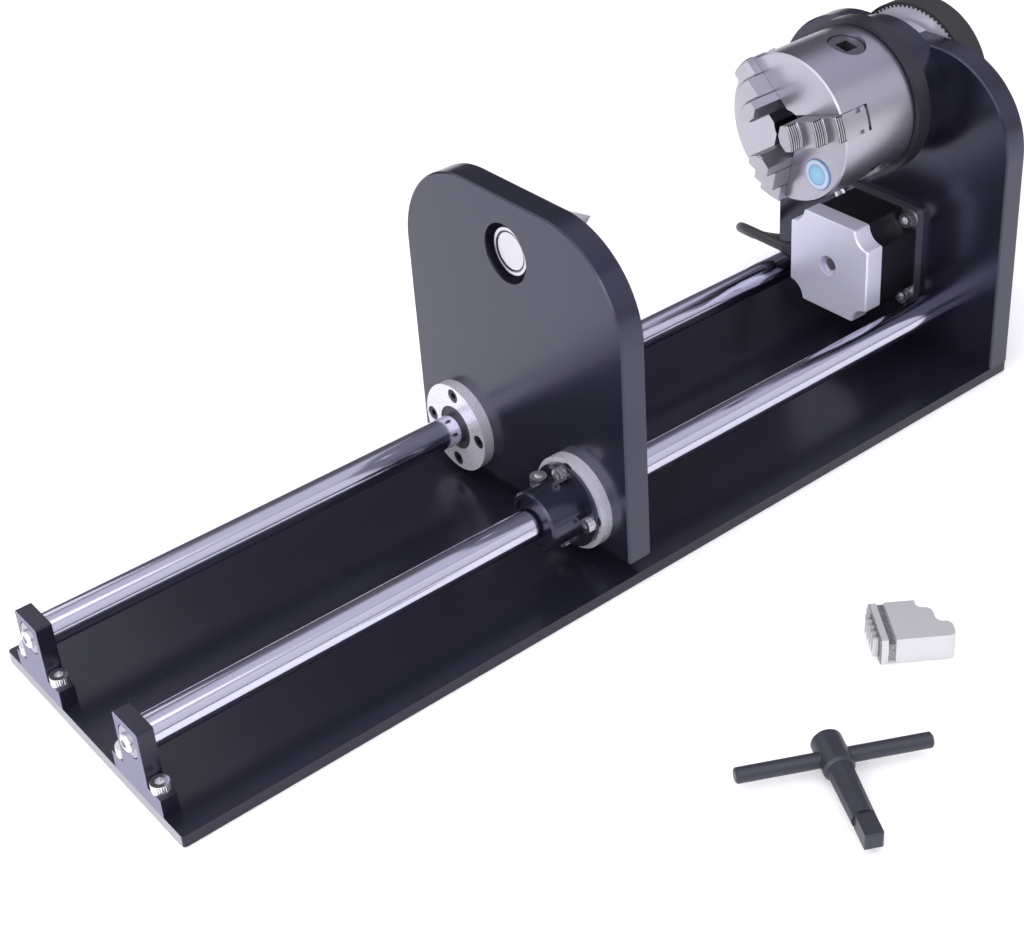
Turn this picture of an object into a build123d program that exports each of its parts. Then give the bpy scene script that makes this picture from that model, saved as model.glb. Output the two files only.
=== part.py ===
"""Laser rotary attachment: a scroll chuck on a belt-driven spindle and a tailstock sliding on two rails.

Millimetres. X runs along the spindle towards the headstock, Z is up, and the origin is the middle of
the base plate's underside.
"""

import os
from math import cos, pi, radians, sin, sqrt, tan

from build123d import *

os.makedirs("parts", exist_ok=True)

# Driving sizes of the base, the two end plates and the rails
base_length = 525.0
base_width = 160.0
base_thick = 6.0
base_corner = 2.0
plate_thick = 14.0
plate_top = 180.0
plate_corner = 50.0
plate_edge = 0.8
spindle_height = 151.0
rail_d = 16.0
rail_spacing = 90.0
rail_height = 35.0

# Clearances
press_gap = 0.02
run_gap = 0.06
free_gap = 0.3

# Shaft supports at the free end of the rails
support_thick = 8.0
support_foot_length = 41.0
support_foot_height = 10.0
support_neck_width = 20.5
support_cap = 2.2

# Headstock drive
motor_height = 57.0
motor_side = 56.4
motor_hole_square = 47.14
motor_pilot_r = 19.05
motor_flange_thick = 5.0
motor_stack_length = 28.0
motor_bell_length = 11.5
motor_shaft_r = 4.0
motor_screw_grip = 10.0
belt_pitch = 3.0
big_teeth = 80
small_teeth = 20
tooth_depth = 1.2
tooth_gap_width = 1.8
pulley_width = 15.0
pulley_gap = 2.0
belt_thick = 1.7
bearing_bore_r = 17.5
bearing_outer_r = 31.0
bearing_width = 14.0
housing_r = 38.0
housing_lip = 1.5
spindle_bore_r = 8.0

# Chuck
chuck_r = 40.0
chuck_length = 51.0
chuck_front_wall = 15.8
slot_depth = 18.6
guide_setback = 9.0
pinion_setback = 33.0
pinion_sink = 2.0
back_plate_r = 43.0
back_plate_thick = 9.0
chuck_to_housing = 1.5
mouth_r = 10.0
chuck_phase = 162.0
jaw_width = 13.5
jaw_tip_r = 11.0
jaw_outer_r = 41.0
jaw_step_heights = (18.2, 11.6, 5.0)
jaw_step_radii = (20.5, 31.5)
scroll_pitch = 4.0
scroll_ridge = 1.9
scroll_outer_r = 31.4
pinion_r = 10.0
key_square = 8.0
travel_in = 8.0
travel_out = 8.0

# Tailstock
tail_front = -16.0
tail_bottom = 14.0
bearing_flange_r = 24.0
bearing_flange_thick = 6.0
bearing_sleeve_r = 14.0
bearing_total = 37.0
bearing_pcd = 38.0
collar_disc_r = 21.5
collar_disc_thick = 3.0
collar_hub_r = 15.5
collar_hub_length = 20.0
centre_recess_r = 15.3
centre_recess_depth = 6.0
centre_sleeve_r = 12.0
centre_setback = 3.0
centre_cone_r = 10.0

# Screws by thread: shank radius, head radius, head height, socket across corners / 2
M3 = (1.5, 2.75, 3.0, 1.45)
M4 = (2.0, 3.5, 4.0, 1.75)
M5 = (2.5, 4.25, 5.0, 2.3)
M6 = (3.0, 5.0, 6.0, 2.9)

# Places worked out from the sizes above
base_end = base_length / 2
head_back = base_end
head_front = head_back - plate_thick
housing_front = head_front - bearing_width - free_gap - housing_lip
back_plate_rear = housing_front - chuck_to_housing
chuck_rear = back_plate_rear - back_plate_thick
chuck_face = chuck_rear - chuck_length
pulley_front = head_back + pulley_gap
pulley_rear = pulley_front + pulley_width
motor_rear = head_front - motor_flange_thick - motor_stack_length - motor_bell_length
rail_sides = (-rail_spacing / 2, rail_spacing / 2)
jaw_angles = [chuck_phase - 120 * n for n in range(3)]
pinion_angles = [angle - 60 for angle in jaw_angles]


def across(x, y=0.0, z=0.0):
    """A plane square to the spindle at x: its own x runs along Y and its own y is up."""
    return Plane(origin=(x, y, z), x_dir=(0, 1, 0), z_dir=(1, 0, 0))


def facing_back(x, y=0.0, z=0.0):
    """A plane square to the spindle that faces the tailstock end."""
    return Plane(origin=(x, y, z), x_dir=(0, -1, 0), z_dir=(-1, 0, 0))


def outward(angle):
    """The direction out from the spindle line at an angle counted from +Y towards +Z."""
    return Vector(0, cos(radians(angle)), sin(radians(angle)))


def along_radius(angle):
    """A plane through the spindle line: its own x runs outwards at the angle and its own y along X."""
    side = Vector(0, sin(radians(angle)), -cos(radians(angle)))
    return Plane(origin=(0, 0, spindle_height), x_dir=outward(angle), z_dir=side)


def on_spindle(x, angle, radius):
    """A point at a radius from the spindle line."""
    return Vector(x, 0, spindle_height) + outward(angle) * radius


def save(part, name):
    part.label = name
    export_step(part, f"parts/{name}.step")


def tube(x0, x1, inner, outer, y=0.0, z=spindle_height):
    """A ring or a bar along X, added to the part being built."""
    with BuildSketch(across(x0, y, z)) as ring:
        Circle(outer)
        if inner > 0:
            Circle(inner, mode=Mode.SUBTRACT)
    extrude(ring.sketch, amount=x1 - x0)


def bore(x0, x1, radius, y=0.0, z=spindle_height):
    """A round hole along X, cut from the part being built."""
    with BuildSketch(across(x0, y, z)) as disc:
        Circle(radius)
    extrude(disc.sketch, amount=x1 - x0, mode=Mode.SUBTRACT)


def cap_screw(seat, size, length):
    """A socket head screw whose head sits on the seat plane and whose shank goes down into it."""
    shank_r, head_r, head_height, socket_r = size
    with BuildSketch(seat) as head:
        Circle(head_r)
    extrude(head.sketch, amount=head_height)
    with BuildSketch(seat) as shank:
        Circle(shank_r)
    extrude(shank.sketch, amount=-length)
    with BuildSketch(seat.offset(head_height)) as socket:
        RegularPolygon(socket_r, 6)
    extrude(socket.sketch, amount=-head_height / 2, mode=Mode.SUBTRACT)


def drill(seat, size, length):
    """The tapped hole that a screw's shank fills."""
    with BuildSketch(seat) as hole:
        Circle(size[0] + press_gap)
    extrude(hole.sketch, amount=-length, mode=Mode.SUBTRACT)


def end_plate(x, bottom):
    """The blank of an end plate: a flat foot, straight sides and two large round shoulders."""
    with BuildSketch(across(x)) as outline:
        with Locations((0, bottom)):
            Rectangle(base_width, plate_top - bottom, align=(Align.CENTER, Align.MIN))
        fillet(outline.vertices().group_by(Axis.Y)[-1], plate_corner)
    extrude(outline.sketch, amount=plate_thick)


# Base plate, with tapped holes for the shaft supports and countersunk ones under the headstock
support_screw_x = -base_end + support_thick / 2
support_screw_offset = support_neck_width / 2 + M5[1] + free_gap
support_seats = [
    Plane.XY.offset(base_thick + support_foot_height).move(Location((support_screw_x, y + side, 0)))
    for y in rail_sides
    for side in (-support_screw_offset, support_screw_offset)
]
support_screw_length = support_foot_height + base_thick - 1
foot_screw_x = head_back - plate_thick / 2
foot_screw_spots = [(foot_screw_x, y) for y in (-rail_spacing * 0.7, 0, rail_spacing * 0.7)]
foot_screw_length = 22.0
foot_screw_head_r = 6.0
foot_screw_head = foot_screw_head_r - M6[0]

with BuildPart() as base_plate:
    with BuildSketch():
        RectangleRounded(base_length, base_width, base_corner)
    extrude(amount=base_thick)
    for seat in support_seats:
        drill(seat, M5, support_screw_length + 1)
    with Locations(Plane(origin=(0, 0, 0), x_dir=(1, 0, 0), z_dir=(0, 0, -1))):
        with Locations(*[(x, -y) for x, y in foot_screw_spots]):
            CounterSinkHole(M6[0] + free_gap, foot_screw_head_r + free_gap, base_thick)
save(base_plate.part, "base_plate")

with BuildPart() as support_screws:
    for seat in support_seats:
        cap_screw(seat, M5, support_screw_length)
save(support_screws.part, "support_screws")

with BuildPart() as headstock_foot_screws:
    for x, y in foot_screw_spots:
        with BuildSketch(Plane(origin=(x, y, 0), x_dir=(1, 0, 0), z_dir=(0, -1, 0))):
            with BuildLine():
                Polyline(
                    (0, 0.1),
                    (foot_screw_head_r, 0.1),
                    (M6[0], 0.1 + foot_screw_head),
                    (M6[0], foot_screw_length),
                    (0, foot_screw_length),
                    close=True,
                )
            make_face()
        revolve(axis=Axis((x, y, 0), (0, 0, 1)))
save(headstock_foot_screws.part, "headstock_foot_screws")


# Rails and what carries their ends
rail_seat_depth = 10.0
rail_start = -base_end
rail_end = head_front + rail_seat_depth
rail_screw_length = 16.0

for name, y in zip(("near", "far"), rail_sides):
    with BuildPart() as rail:
        tube(rail_start, rail_end, 0, rail_d / 2, y, rail_height)
        chamfer(rail.edges().filter_by(GeomType.CIRCLE), 0.6)
        drill(across(rail_end, y, rail_height), M6, rail_screw_length)
    save(rail.part, f"rail_{name}")

    with BuildPart() as support:
        with BuildSketch(across(-base_end, y, base_thick)):
            Rectangle(support_foot_length, support_foot_height, align=(Align.CENTER, Align.MIN))
            neck_height = rail_height + rail_d / 2 + support_cap - base_thick
            Rectangle(support_neck_width, neck_height, align=(Align.CENTER, Align.MIN))
        extrude(amount=support_thick)
        fillet(support.edges().filter_by(Axis.X).group_by(Axis.Z)[-1], 1.0)
        bore(-base_end, -base_end + support_thick, rail_d / 2 + press_gap, y, rail_height)
        for seat in support_seats:
            if abs(seat.origin.Y - y) < support_foot_length / 2:
                drill(seat, M5, support_foot_height)
    save(support.part, f"shaft_support_{name}")


# Headstock plate with its bearing bore, the motor's pilot and screw holes and the rail seats
motor_corners = [
    (y, motor_height + z)
    for y in (-motor_hole_square / 2, motor_hole_square / 2)
    for z in (-motor_hole_square / 2, motor_hole_square / 2)
]
motor_screw_length = motor_flange_thick + motor_screw_grip
housing_screw_count = 4
housing_screw_r = (bearing_outer_r + housing_r) / 2
housing_screw_angles = [45 + 360 * n / housing_screw_count for n in range(housing_screw_count)]
housing_length = head_front - housing_front
rail_screw_seats = [across(head_back, y, rail_height) for y in rail_sides]
rail_screw_grip = plate_thick - rail_seat_depth

with BuildPart() as headstock_plate:
    end_plate(head_front, base_thick)
    chamfer(headstock_plate.edges().filter_by(lambda e: e.center().Z > base_thick + 1), plate_edge)
    bore(head_front, head_back, bearing_outer_r + press_gap)
    bore(head_front, head_back, motor_pilot_r + press_gap, 0, motor_height)
    for y in rail_sides:
        bore(head_front, rail_end, rail_d / 2 + press_gap, y, rail_height)
        bore(rail_end, head_back, M6[0] + press_gap, y, rail_height)
    for y, z in motor_corners:
        drill(facing_back(head_front, y, z), M5, motor_screw_grip + 1)
    for angle in housing_screw_angles:
        point = on_spindle(head_front, angle, housing_screw_r)
        drill(facing_back(point.X, point.Y, point.Z), M4, 9)
    for x, y in foot_screw_spots:
        with BuildSketch(Plane(origin=(x, y, base_thick), x_dir=(1, 0, 0), z_dir=(0, 0, 1))):
            Circle(M6[0] + press_gap)
        extrude(amount=foot_screw_length - base_thick + 1, mode=Mode.SUBTRACT)
save(headstock_plate.part, "headstock_plate")

with BuildPart() as rail_screws:
    for seat in rail_screw_seats:
        cap_screw(seat, M6, rail_screw_length + rail_screw_grip - 1)
save(rail_screws.part, "rail_screws")

housing_seats = [
    facing_back(housing_front + M3[2] + press_gap, *tuple(on_spindle(0, angle, housing_screw_r))[1:])
    for angle in housing_screw_angles
]
housing_screw_length = housing_length - M3[2] + 8

with BuildPart() as bearing_housing:
    tube(housing_front, head_front, bearing_outer_r + press_gap, housing_r)
    tube(housing_front, housing_front + housing_lip, bearing_outer_r - 4, bearing_outer_r + 1)
    for seat in housing_seats:
        drill(seat, M3, housing_length)
        with BuildSketch(seat):
            Circle(M3[1] + free_gap)
        extrude(amount=2 * M3[2], mode=Mode.SUBTRACT)
save(bearing_housing.part, "bearing_housing")

with BuildPart() as housing_screws:
    for seat in housing_seats:
        cap_screw(seat, M3, housing_screw_length)
save(housing_screws.part, "housing_screws")


# Two deep-groove bearings side by side, their outer rings in the housing and in the plate
ring_share = 0.24
shield_thick = 0.8
shield_sink = 0.3


def bearing_rings(name, starts, width, inner_r, outer_r):
    """A pair of shielded ball bearings as their outer rings with shields and their inner rings."""
    wall = (outer_r - inner_r) * ring_share
    with BuildPart() as outer:
        for x0 in starts:
            tube(x0, x0 + width, outer_r - wall, outer_r)
            for start in (x0 + shield_sink, x0 + width - shield_sink - shield_thick):
                tube(start, start + shield_thick, inner_r + wall + run_gap, outer_r - wall)
    save(outer.part, f"{name}_outer")
    with BuildPart() as inner:
        for x0 in starts:
            tube(x0, x0 + width, inner_r, inner_r + wall)
    save(inner.part, f"{name}_inner")


spindle_bearing_starts = (housing_front + housing_lip, head_front)
bearing_rings("spindle_bearing", spindle_bearing_starts, bearing_width, bearing_bore_r, bearing_outer_r)


# Stepper motor: black stack between a silver bell and the mounting flange
def motor_block(x0, length, side, scoop_r, round_r):
    """A square block with a concave scoop along each corner, where the long screws run."""
    with BuildSketch(across(x0, 0, motor_height)) as outline:
        Rectangle(side, side)
        with GridLocations(side, side, 2, 2):
            Circle(scoop_r, mode=Mode.SUBTRACT)
        fillet(outline.vertices(), round_r)
    extrude(outline.sketch, amount=length)


bell_end = motor_rear + motor_bell_length
stack_end = bell_end + motor_stack_length
motor_scoop = 9.5
bell_corner = 1.6
stack_corner = 0.4
bell_edge = 0.8
motor_bearing_r = 8.0
motor_bearing_width = 5.0
rear_hole_r = 6.0
rear_hole_depth = 4.0

with BuildPart() as motor_rear_bell:
    motor_block(motor_rear, motor_bell_length, motor_side, motor_scoop, bell_corner)
    chamfer(motor_rear_bell.faces().sort_by(Axis.X)[0].edges(), bell_edge)
    bore(motor_rear, bell_end, rear_hole_r, 0, motor_height)
    bore(motor_rear + rear_hole_depth, bell_end, motor_bearing_r + press_gap, 0, motor_height)
save(motor_rear_bell.part, "motor_rear_bell")

cable_x = motor_rear + 6.0
cable_z = motor_height - 5.0
cable_d = 6.0

with BuildPart() as motor_stator:
    motor_block(bell_end, motor_stack_length, motor_side - 1.0, motor_scoop + 1.0, stack_corner)
    bore(bell_end, stack_end, motor_shaft_r + 0.5, 0, motor_height)
save(motor_stator.part, "motor_stator")

with BuildPart() as motor_front_flange:
    with BuildSketch(across(stack_end, 0, motor_height)):
        RectangleRounded(motor_side, motor_side, 4)
    extrude(amount=motor_flange_thick)
    tube(head_front, head_front + 1.6, 0, motor_pilot_r, 0, motor_height)
    bore(stack_end, head_front + 1.6, motor_bearing_r + press_gap, 0, motor_height)
    for y, z in motor_corners:
        drill(facing_back(stack_end, y, z), M5, motor_flange_thick)
save(motor_front_flange.part, "motor_front_flange")

with BuildPart() as motor_screws:
    for y, z in motor_corners:
        cap_screw(facing_back(stack_end, y, z), M5, motor_screw_length)
save(motor_screws.part, "motor_screws")

with BuildPart() as motor_bearings:
    for x0 in (motor_rear + rear_hole_depth, head_front + 1.6 - motor_bearing_width):
        tube(x0, x0 + motor_bearing_width, motor_shaft_r + run_gap, motor_bearing_r, 0, motor_height)
save(motor_bearings.part, "motor_bearings")


# Timing pulleys and the belt
def toothed_disc(x0, x1, teeth, y, z):
    """A toothed wheel's rim: grooves for the belt's teeth, one to each pitch."""
    radius = teeth * belt_pitch / (2 * pi)
    with BuildSketch(across(x0, y, z)) as rim:
        Circle(radius)
        with PolarLocations(radius, teeth):
            Rectangle(2 * tooth_depth, tooth_gap_width, mode=Mode.SUBTRACT)
    extrude(rim.sketch, amount=x1 - x0)


big_pulley_r = big_teeth * belt_pitch / (2 * pi)
small_pulley_r = small_teeth * belt_pitch / (2 * pi)
pulley_boss_r = 22.0
lock_nut_r = 25.0
lock_nut_width = 7.0
spindle_end = pulley_rear + lock_nut_width + 2

with BuildPart() as big_pulley:
    toothed_disc(pulley_front, pulley_rear, big_teeth, 0, spindle_height)
    tube(head_back, pulley_front, 0, pulley_boss_r)
    bore(head_back, pulley_rear, bearing_bore_r)
save(big_pulley.part, "big_pulley")

with BuildPart() as spindle_lock_nut:
    tube(pulley_rear, pulley_rear + lock_nut_width, bearing_bore_r, lock_nut_r)
    with BuildSketch(across(pulley_rear, 0, spindle_height)):
        with PolarLocations(lock_nut_r, 4):
            Rectangle(5, 6)
    extrude(amount=lock_nut_width, mode=Mode.SUBTRACT)
save(spindle_lock_nut.part, "spindle_lock_nut")

small_flange_r = small_pulley_r + belt_thick + 1.5
small_flange_thick = 1.0
small_hub_r = 8.0
small_hub_length = 7.0
small_front = pulley_front - small_flange_thick
small_rear = pulley_rear + small_flange_thick
grub_x = small_rear + small_hub_length / 2

with BuildPart() as motor_pulley:
    toothed_disc(small_front, small_rear, small_teeth, 0, motor_height)
    tube(small_front, pulley_front - free_gap, 0, small_flange_r, 0, motor_height)
    tube(pulley_rear + free_gap, small_rear, 0, small_flange_r, 0, motor_height)
    tube(small_rear, small_rear + small_hub_length, 0, small_hub_r, 0, motor_height)
    bore(small_front, small_rear + small_hub_length, motor_shaft_r, 0, motor_height)
    with BuildSketch(Plane(origin=(grub_x, 0, motor_height), x_dir=(1, 0, 0), z_dir=(0, 0, 1))):
        Circle(M3[0] + press_gap)
    extrude(amount=small_hub_r + 1, mode=Mode.SUBTRACT)
save(motor_pulley.part, "motor_pulley")

with BuildPart() as pulley_grub_screw:
    with BuildSketch(Plane(origin=(grub_x, 0, motor_height + motor_shaft_r), z_dir=(0, 0, 1))):
        Circle(M3[0])
    extrude(amount=small_hub_r - motor_shaft_r - 0.4)
save(pulley_grub_screw.part, "pulley_grub_screw")

motor_shaft_start = motor_rear + 2.5
motor_shaft_end = small_rear + small_hub_length - 0.5
with BuildPart() as motor_shaft:
    tube(motor_shaft_start, motor_shaft_end, 0, motor_shaft_r, 0, motor_height)
    chamfer(motor_shaft.edges().filter_by(GeomType.CIRCLE), 0.4)
save(motor_shaft.part, "motor_shaft")

drive_centres = spindle_height - motor_height
belt_slope = (small_pulley_r - big_pulley_r) / drive_centres
belt_reach = sqrt(1 - belt_slope**2)


def belt_loop(offset):
    """The closed outline of the belt at a distance outside both pulleys' tips."""
    big_r, small_r = big_pulley_r + offset, small_pulley_r + offset
    big_right = (big_r * belt_reach, spindle_height + big_r * belt_slope)
    big_left = (-big_r * belt_reach, spindle_height + big_r * belt_slope)
    small_right = (small_r * belt_reach, motor_height + small_r * belt_slope)
    small_left = (-small_r * belt_reach, motor_height + small_r * belt_slope)
    with BuildSketch(across(pulley_front)) as loop:
        with BuildLine():
            ThreePointArc(big_right, (0, spindle_height + big_r), big_left)
            Line(big_left, small_left)
            ThreePointArc(small_left, (0, motor_height - small_r), small_right)
            Line(small_right, big_right)
        make_face()
    return loop.sketch


with BuildPart() as drive_belt:
    extrude(belt_loop(run_gap + belt_thick), amount=pulley_width)
    extrude(belt_loop(run_gap), amount=pulley_width, mode=Mode.SUBTRACT)
save(drive_belt.part, "drive_belt")


# Spindle, its spacer and the black back plate that carries the chuck
spindle_flange_r = 25.0
spindle_flange_thick = 4.0
spindle_screw_r = 21.0
spindle_seats = [
    facing_back(chuck_rear + spindle_flange_thick, *tuple(on_spindle(0, angle, spindle_screw_r))[1:])
    for angle in jaw_angles
]
chuck_screw_r = 36.6
chuck_screw_length = 14.0
chuck_screw_sink = M4[2] + 0.2
chuck_screw_seats = [
    across(back_plate_rear - chuck_screw_sink, *tuple(on_spindle(0, angle, chuck_screw_r))[1:])
    for angle in jaw_angles
]

with BuildPart() as spindle:
    tube(chuck_rear, chuck_rear + spindle_flange_thick, 0, spindle_flange_r)
    tube(chuck_rear, spindle_end, 0, bearing_bore_r)
    bore(chuck_rear, spindle_end, spindle_bore_r)
    for seat in spindle_seats:
        drill(seat.offset(spindle_flange_thick), M3, spindle_flange_thick)
        with BuildSketch(seat.offset(spindle_flange_thick)) as sink:
            Circle(M3[1] + free_gap)
        extrude(sink.sketch, amount=-M3[2] - press_gap, mode=Mode.SUBTRACT)
save(spindle.part, "spindle")

with BuildPart() as spindle_screws:
    for seat in spindle_seats:
        cap_screw(seat.offset(spindle_flange_thick - M3[2] - press_gap), M3, back_plate_thick - M3[2] - 1)
save(spindle_screws.part, "spindle_screws")

with BuildPart() as chuck_back_plate:
    tube(chuck_rear, back_plate_rear, bearing_bore_r + press_gap, back_plate_r)
    bore(chuck_rear, chuck_rear + spindle_flange_thick, spindle_flange_r + press_gap)
    for seat in spindle_seats:
        drill(seat, M3, back_plate_thick)
    for seat in chuck_screw_seats:
        drill(seat, M4, chuck_screw_length)
        with BuildSketch(seat) as sink:
            Circle(M4[1] + free_gap)
        extrude(sink.sketch, amount=2 * chuck_screw_sink, mode=Mode.SUBTRACT)
save(chuck_back_plate.part, "chuck_back_plate")

with BuildPart() as chuck_screws:
    for seat in chuck_screw_seats:
        cap_screw(seat, M4, chuck_screw_length)
save(chuck_screws.part, "chuck_screws")

spacer_end = housing_front + housing_lip
with BuildPart() as spindle_spacer:
    tube(back_plate_rear, spacer_end, bearing_bore_r, pulley_boss_r)
save(spindle_spacer.part, "spindle_spacer")


# Chuck body: jaw slots through the front wall, a cavity for the scroll and a radial bore for each pinion
jaw_back = chuck_face + chuck_front_wall
tooth_height = 2.6
scroll_front = jaw_back + 0.2
cavity_start = jaw_back
slot_floor = chuck_face + slot_depth
tongue_start = chuck_face + guide_setback
tongue_thick = 3.2
tongue_reach = 2.2
pinion_x = chuck_face + pinion_setback
pinion_seat_r = 30.0
pinion_head_end = chuck_r - pinion_sink
cover_thick = 7.0
cover_start = chuck_rear - cover_thick
cover_r = 33.0
cavity_r = scroll_outer_r + 0.2
tooth_half_width = 5.0

with BuildPart() as chuck_body:
    tube(chuck_face, chuck_rear, 0, chuck_r)
    chamfer(chuck_body.edges().filter_by(GeomType.CIRCLE), 0.8)
    bore(chuck_face, chuck_rear, mouth_r)
    bore(cavity_start, chuck_rear, cavity_r)
    bore(cover_start, chuck_rear, cover_r + press_gap)
    for angle in jaw_angles:
        with BuildSketch(along_radius(angle)) as slot:
            with Locations((0, chuck_face - 1)):
                Rectangle(chuck_r + 2, slot_depth + 1, align=(Align.MIN, Align.MIN))
        extrude(slot.sketch, amount=jaw_width / 2 + free_gap / 2, both=True, mode=Mode.SUBTRACT)
    for angle in jaw_angles:
        for side in (-1, 1):
            near = side * (jaw_width / 2 - tongue_reach + free_gap / 2)
            with BuildSketch(along_radius(angle).offset(near)) as tongue:
                with Locations((mouth_r + 6, tongue_start)):
                    Rectangle(chuck_r - mouth_r - 7, tongue_thick, align=(Align.MIN, Align.MIN))
            extrude(tongue.sketch, amount=side * (tongue_reach + 0.2))
    for angle in pinion_angles:
        direction = outward(angle)
        middle = Vector(pinion_x, 0, spindle_height)
        with BuildSketch(Plane(origin=middle, x_dir=(1, 0, 0), z_dir=direction)) as hole:
            Circle(pinion_r + press_gap + run_gap)
        extrude(hole.sketch, amount=chuck_r + 1, mode=Mode.SUBTRACT)
    for seat in chuck_screw_seats:
        drill(seat, M4, chuck_screw_length + 1)
save(chuck_body.part, "chuck_body")


# Bevel drive inside the chuck: both cones meet where a pinion's axis crosses the spindle line
crown_teeth = 48
pinion_teeth = 10
crown_outer_r = 28.0
crown_inner_r = 20.5
bevel_pitch = pinion_teeth / crown_teeth
bevel_root = 1.4 / crown_outer_r
trunnion_r = 3.0
boss_outer_r = 19.5
boss_inner_r = 13.5
hub_r = 12.4
hub_start = slot_floor + 0.8

with BuildPart() as chuck_cover:
    with BuildSketch(along_radius(0)):
        with BuildLine():
            Polyline(
                (spindle_bore_r, hub_start),
                (hub_r, hub_start),
                (hub_r, pinion_x - 5),
                (boss_outer_r, pinion_x - 3.6),
                (boss_outer_r, cover_start),
                (cover_r, cover_start),
                (cover_r, chuck_rear),
                (spindle_bore_r, chuck_rear),
                close=True,
            )
        make_face()
    revolve(axis=Axis((0, 0, spindle_height), (1, 0, 0)))
    for angle in pinion_angles:
        with BuildSketch(
            Plane(origin=on_spindle(pinion_x, angle, boss_inner_r), x_dir=(1, 0, 0), z_dir=outward(angle))
        ):
            Circle(trunnion_r + run_gap)
        extrude(amount=boss_outer_r, mode=Mode.SUBTRACT)
save(chuck_cover.part, "chuck_cover")

ridge_height = slot_floor + 0.1 - scroll_front
scroll_plate_front = scroll_front + ridge_height
spiral_step = scroll_pitch / 4
spiral_start_r = 14.5
spiral_quarters = 16
spiral_centres = [
    (-spiral_step / 2, spiral_step / 2),
    (-spiral_step / 2, -spiral_step / 2),
    (spiral_step / 2, -spiral_step / 2),
    (spiral_step / 2, spiral_step / 2),
]


def crown_cone(radius):
    """Where the crown gear's root cone lies along X at a radius."""
    return pinion_x - radius * (bevel_pitch + bevel_root)


with BuildPart() as scroll_plate:
    with BuildSketch(along_radius(0)):
        with BuildLine():
            Polyline(
                (hub_r + run_gap, scroll_plate_front),
                (scroll_outer_r, scroll_plate_front),
                (scroll_outer_r, pinion_x - pinion_r - 1),
                (crown_outer_r, pinion_x - pinion_r - 1),
                (crown_outer_r, crown_cone(crown_outer_r)),
                (crown_inner_r, crown_cone(crown_inner_r)),
                (crown_inner_r, pinion_x - 5.5),
                (hub_r + run_gap, pinion_x - 5.5),
                close=True,
            )
        make_face()
    revolve(axis=Axis((0, 0, spindle_height), (1, 0, 0)))
    with BuildSketch(across(scroll_front, 0, spindle_height)):
        with BuildLine():
            inner_edge = []
            outer_edge = []
            for n in range(spiral_quarters):
                centre = spiral_centres[n % 4]
                radius = spiral_start_r + n * spiral_step
                inner_edge.append(CenterArc(centre, radius - scroll_ridge / 2, 90 * n, 90))
                outer_edge.append(CenterArc(centre, radius + scroll_ridge / 2, 90 * n, 90))
            Line(inner_edge[0] @ 0, outer_edge[0] @ 0)
            Line(inner_edge[-1] @ 1, outer_edge[-1] @ 1)
        make_face()
    extrude(amount=ridge_height + 0.1)
save(scroll_plate.part, "scroll_plate")


# Jaws: turned steps, a blunt wedge at the tip, guide grooves down both sides and arc teeth on the back
teeth_from_r = 17.0
teeth_to_r = jaw_outer_r - 2.5
tooth_play = 0.2
tooth_thick = scroll_pitch - scroll_ridge - 2 * tooth_play
jaw_tip_angle = 60.0
jaw_tip_flat = 2.0
jaw_round = 1.2


def shape_jaw(seat, profile, round_r, groove_start, back, tooth_radii):
    """A jaw on a plane whose x runs out from the chuck's middle and whose y runs from front to back."""
    with BuildSketch(seat) as side_view:
        with BuildLine():
            Polyline(*[(-x, y) for x, y in profile], close=True)
        make_face()
        fillet(side_view.vertices().filter_by(lambda v: v.Y < back - 1), round_r)
    revolve(side_view.sketch, axis=Axis(seat.origin, seat.y_dir))
    front = min(y for _, y in profile) - 1
    end_view = Plane(origin=seat.from_local_coords((0, front, 0)), x_dir=seat.x_dir, z_dir=seat.y_dir)
    with BuildSketch(end_view) as slab:
        Rectangle(jaw_outer_r + 1, jaw_width, align=(Align.MIN, Align.CENTER))
    extrude(slab.sketch, amount=back - front + 1, mode=Mode.INTERSECT)
    wedge = (jaw_width - jaw_tip_flat) / 2 / tan(radians(jaw_tip_angle))
    for side in (-1, 1):
        with BuildSketch(end_view) as bevel:
            with BuildLine():
                Polyline(
                    (0, side * jaw_tip_flat / 2),
                    (jaw_tip_r, side * jaw_tip_flat / 2),
                    (jaw_tip_r + wedge, side * jaw_width / 2),
                    (jaw_tip_r + wedge, side * jaw_width),
                    (0, side * jaw_width),
                    close=True,
                )
            make_face()
        extrude(bevel.sketch, amount=back - front + 1, mode=Mode.SUBTRACT)
        with BuildSketch(seat.offset(side * (jaw_width / 2 - tongue_reach))) as groove:
            with Locations((0, groove_start)):
                Rectangle(jaw_outer_r + 1, tongue_thick + free_gap, align=(Align.MIN, Align.MIN))
        extrude(groove.sketch, amount=side * (tongue_reach + 1), mode=Mode.SUBTRACT)
    back_view = Plane(origin=seat.from_local_coords((0, back, 0)), x_dir=seat.x_dir, z_dir=seat.y_dir)
    for middle_r in tooth_radii:
        inner_bend, outer_bend = middle_r + travel_out, middle_r - travel_in
        inner_sag = inner_bend - sqrt(inner_bend**2 - tooth_half_width**2)
        outer_sag = outer_bend - sqrt(outer_bend**2 - tooth_half_width**2)
        inner, outer = middle_r - tooth_thick / 2, middle_r + tooth_thick / 2
        with BuildSketch(back_view) as tooth:
            with BuildLine():
                ThreePointArc(
                    (inner - inner_sag, -tooth_half_width), (inner, 0), (inner - inner_sag, tooth_half_width)
                )
                ThreePointArc(
                    (outer - outer_sag, -tooth_half_width), (outer, 0), (outer - outer_sag, tooth_half_width)
                )
                for side in (-tooth_half_width, tooth_half_width):
                    Line((inner - inner_sag, side), (outer - outer_sag, side))
            make_face()
        extrude(tooth.sketch, amount=tooth_height)


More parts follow.
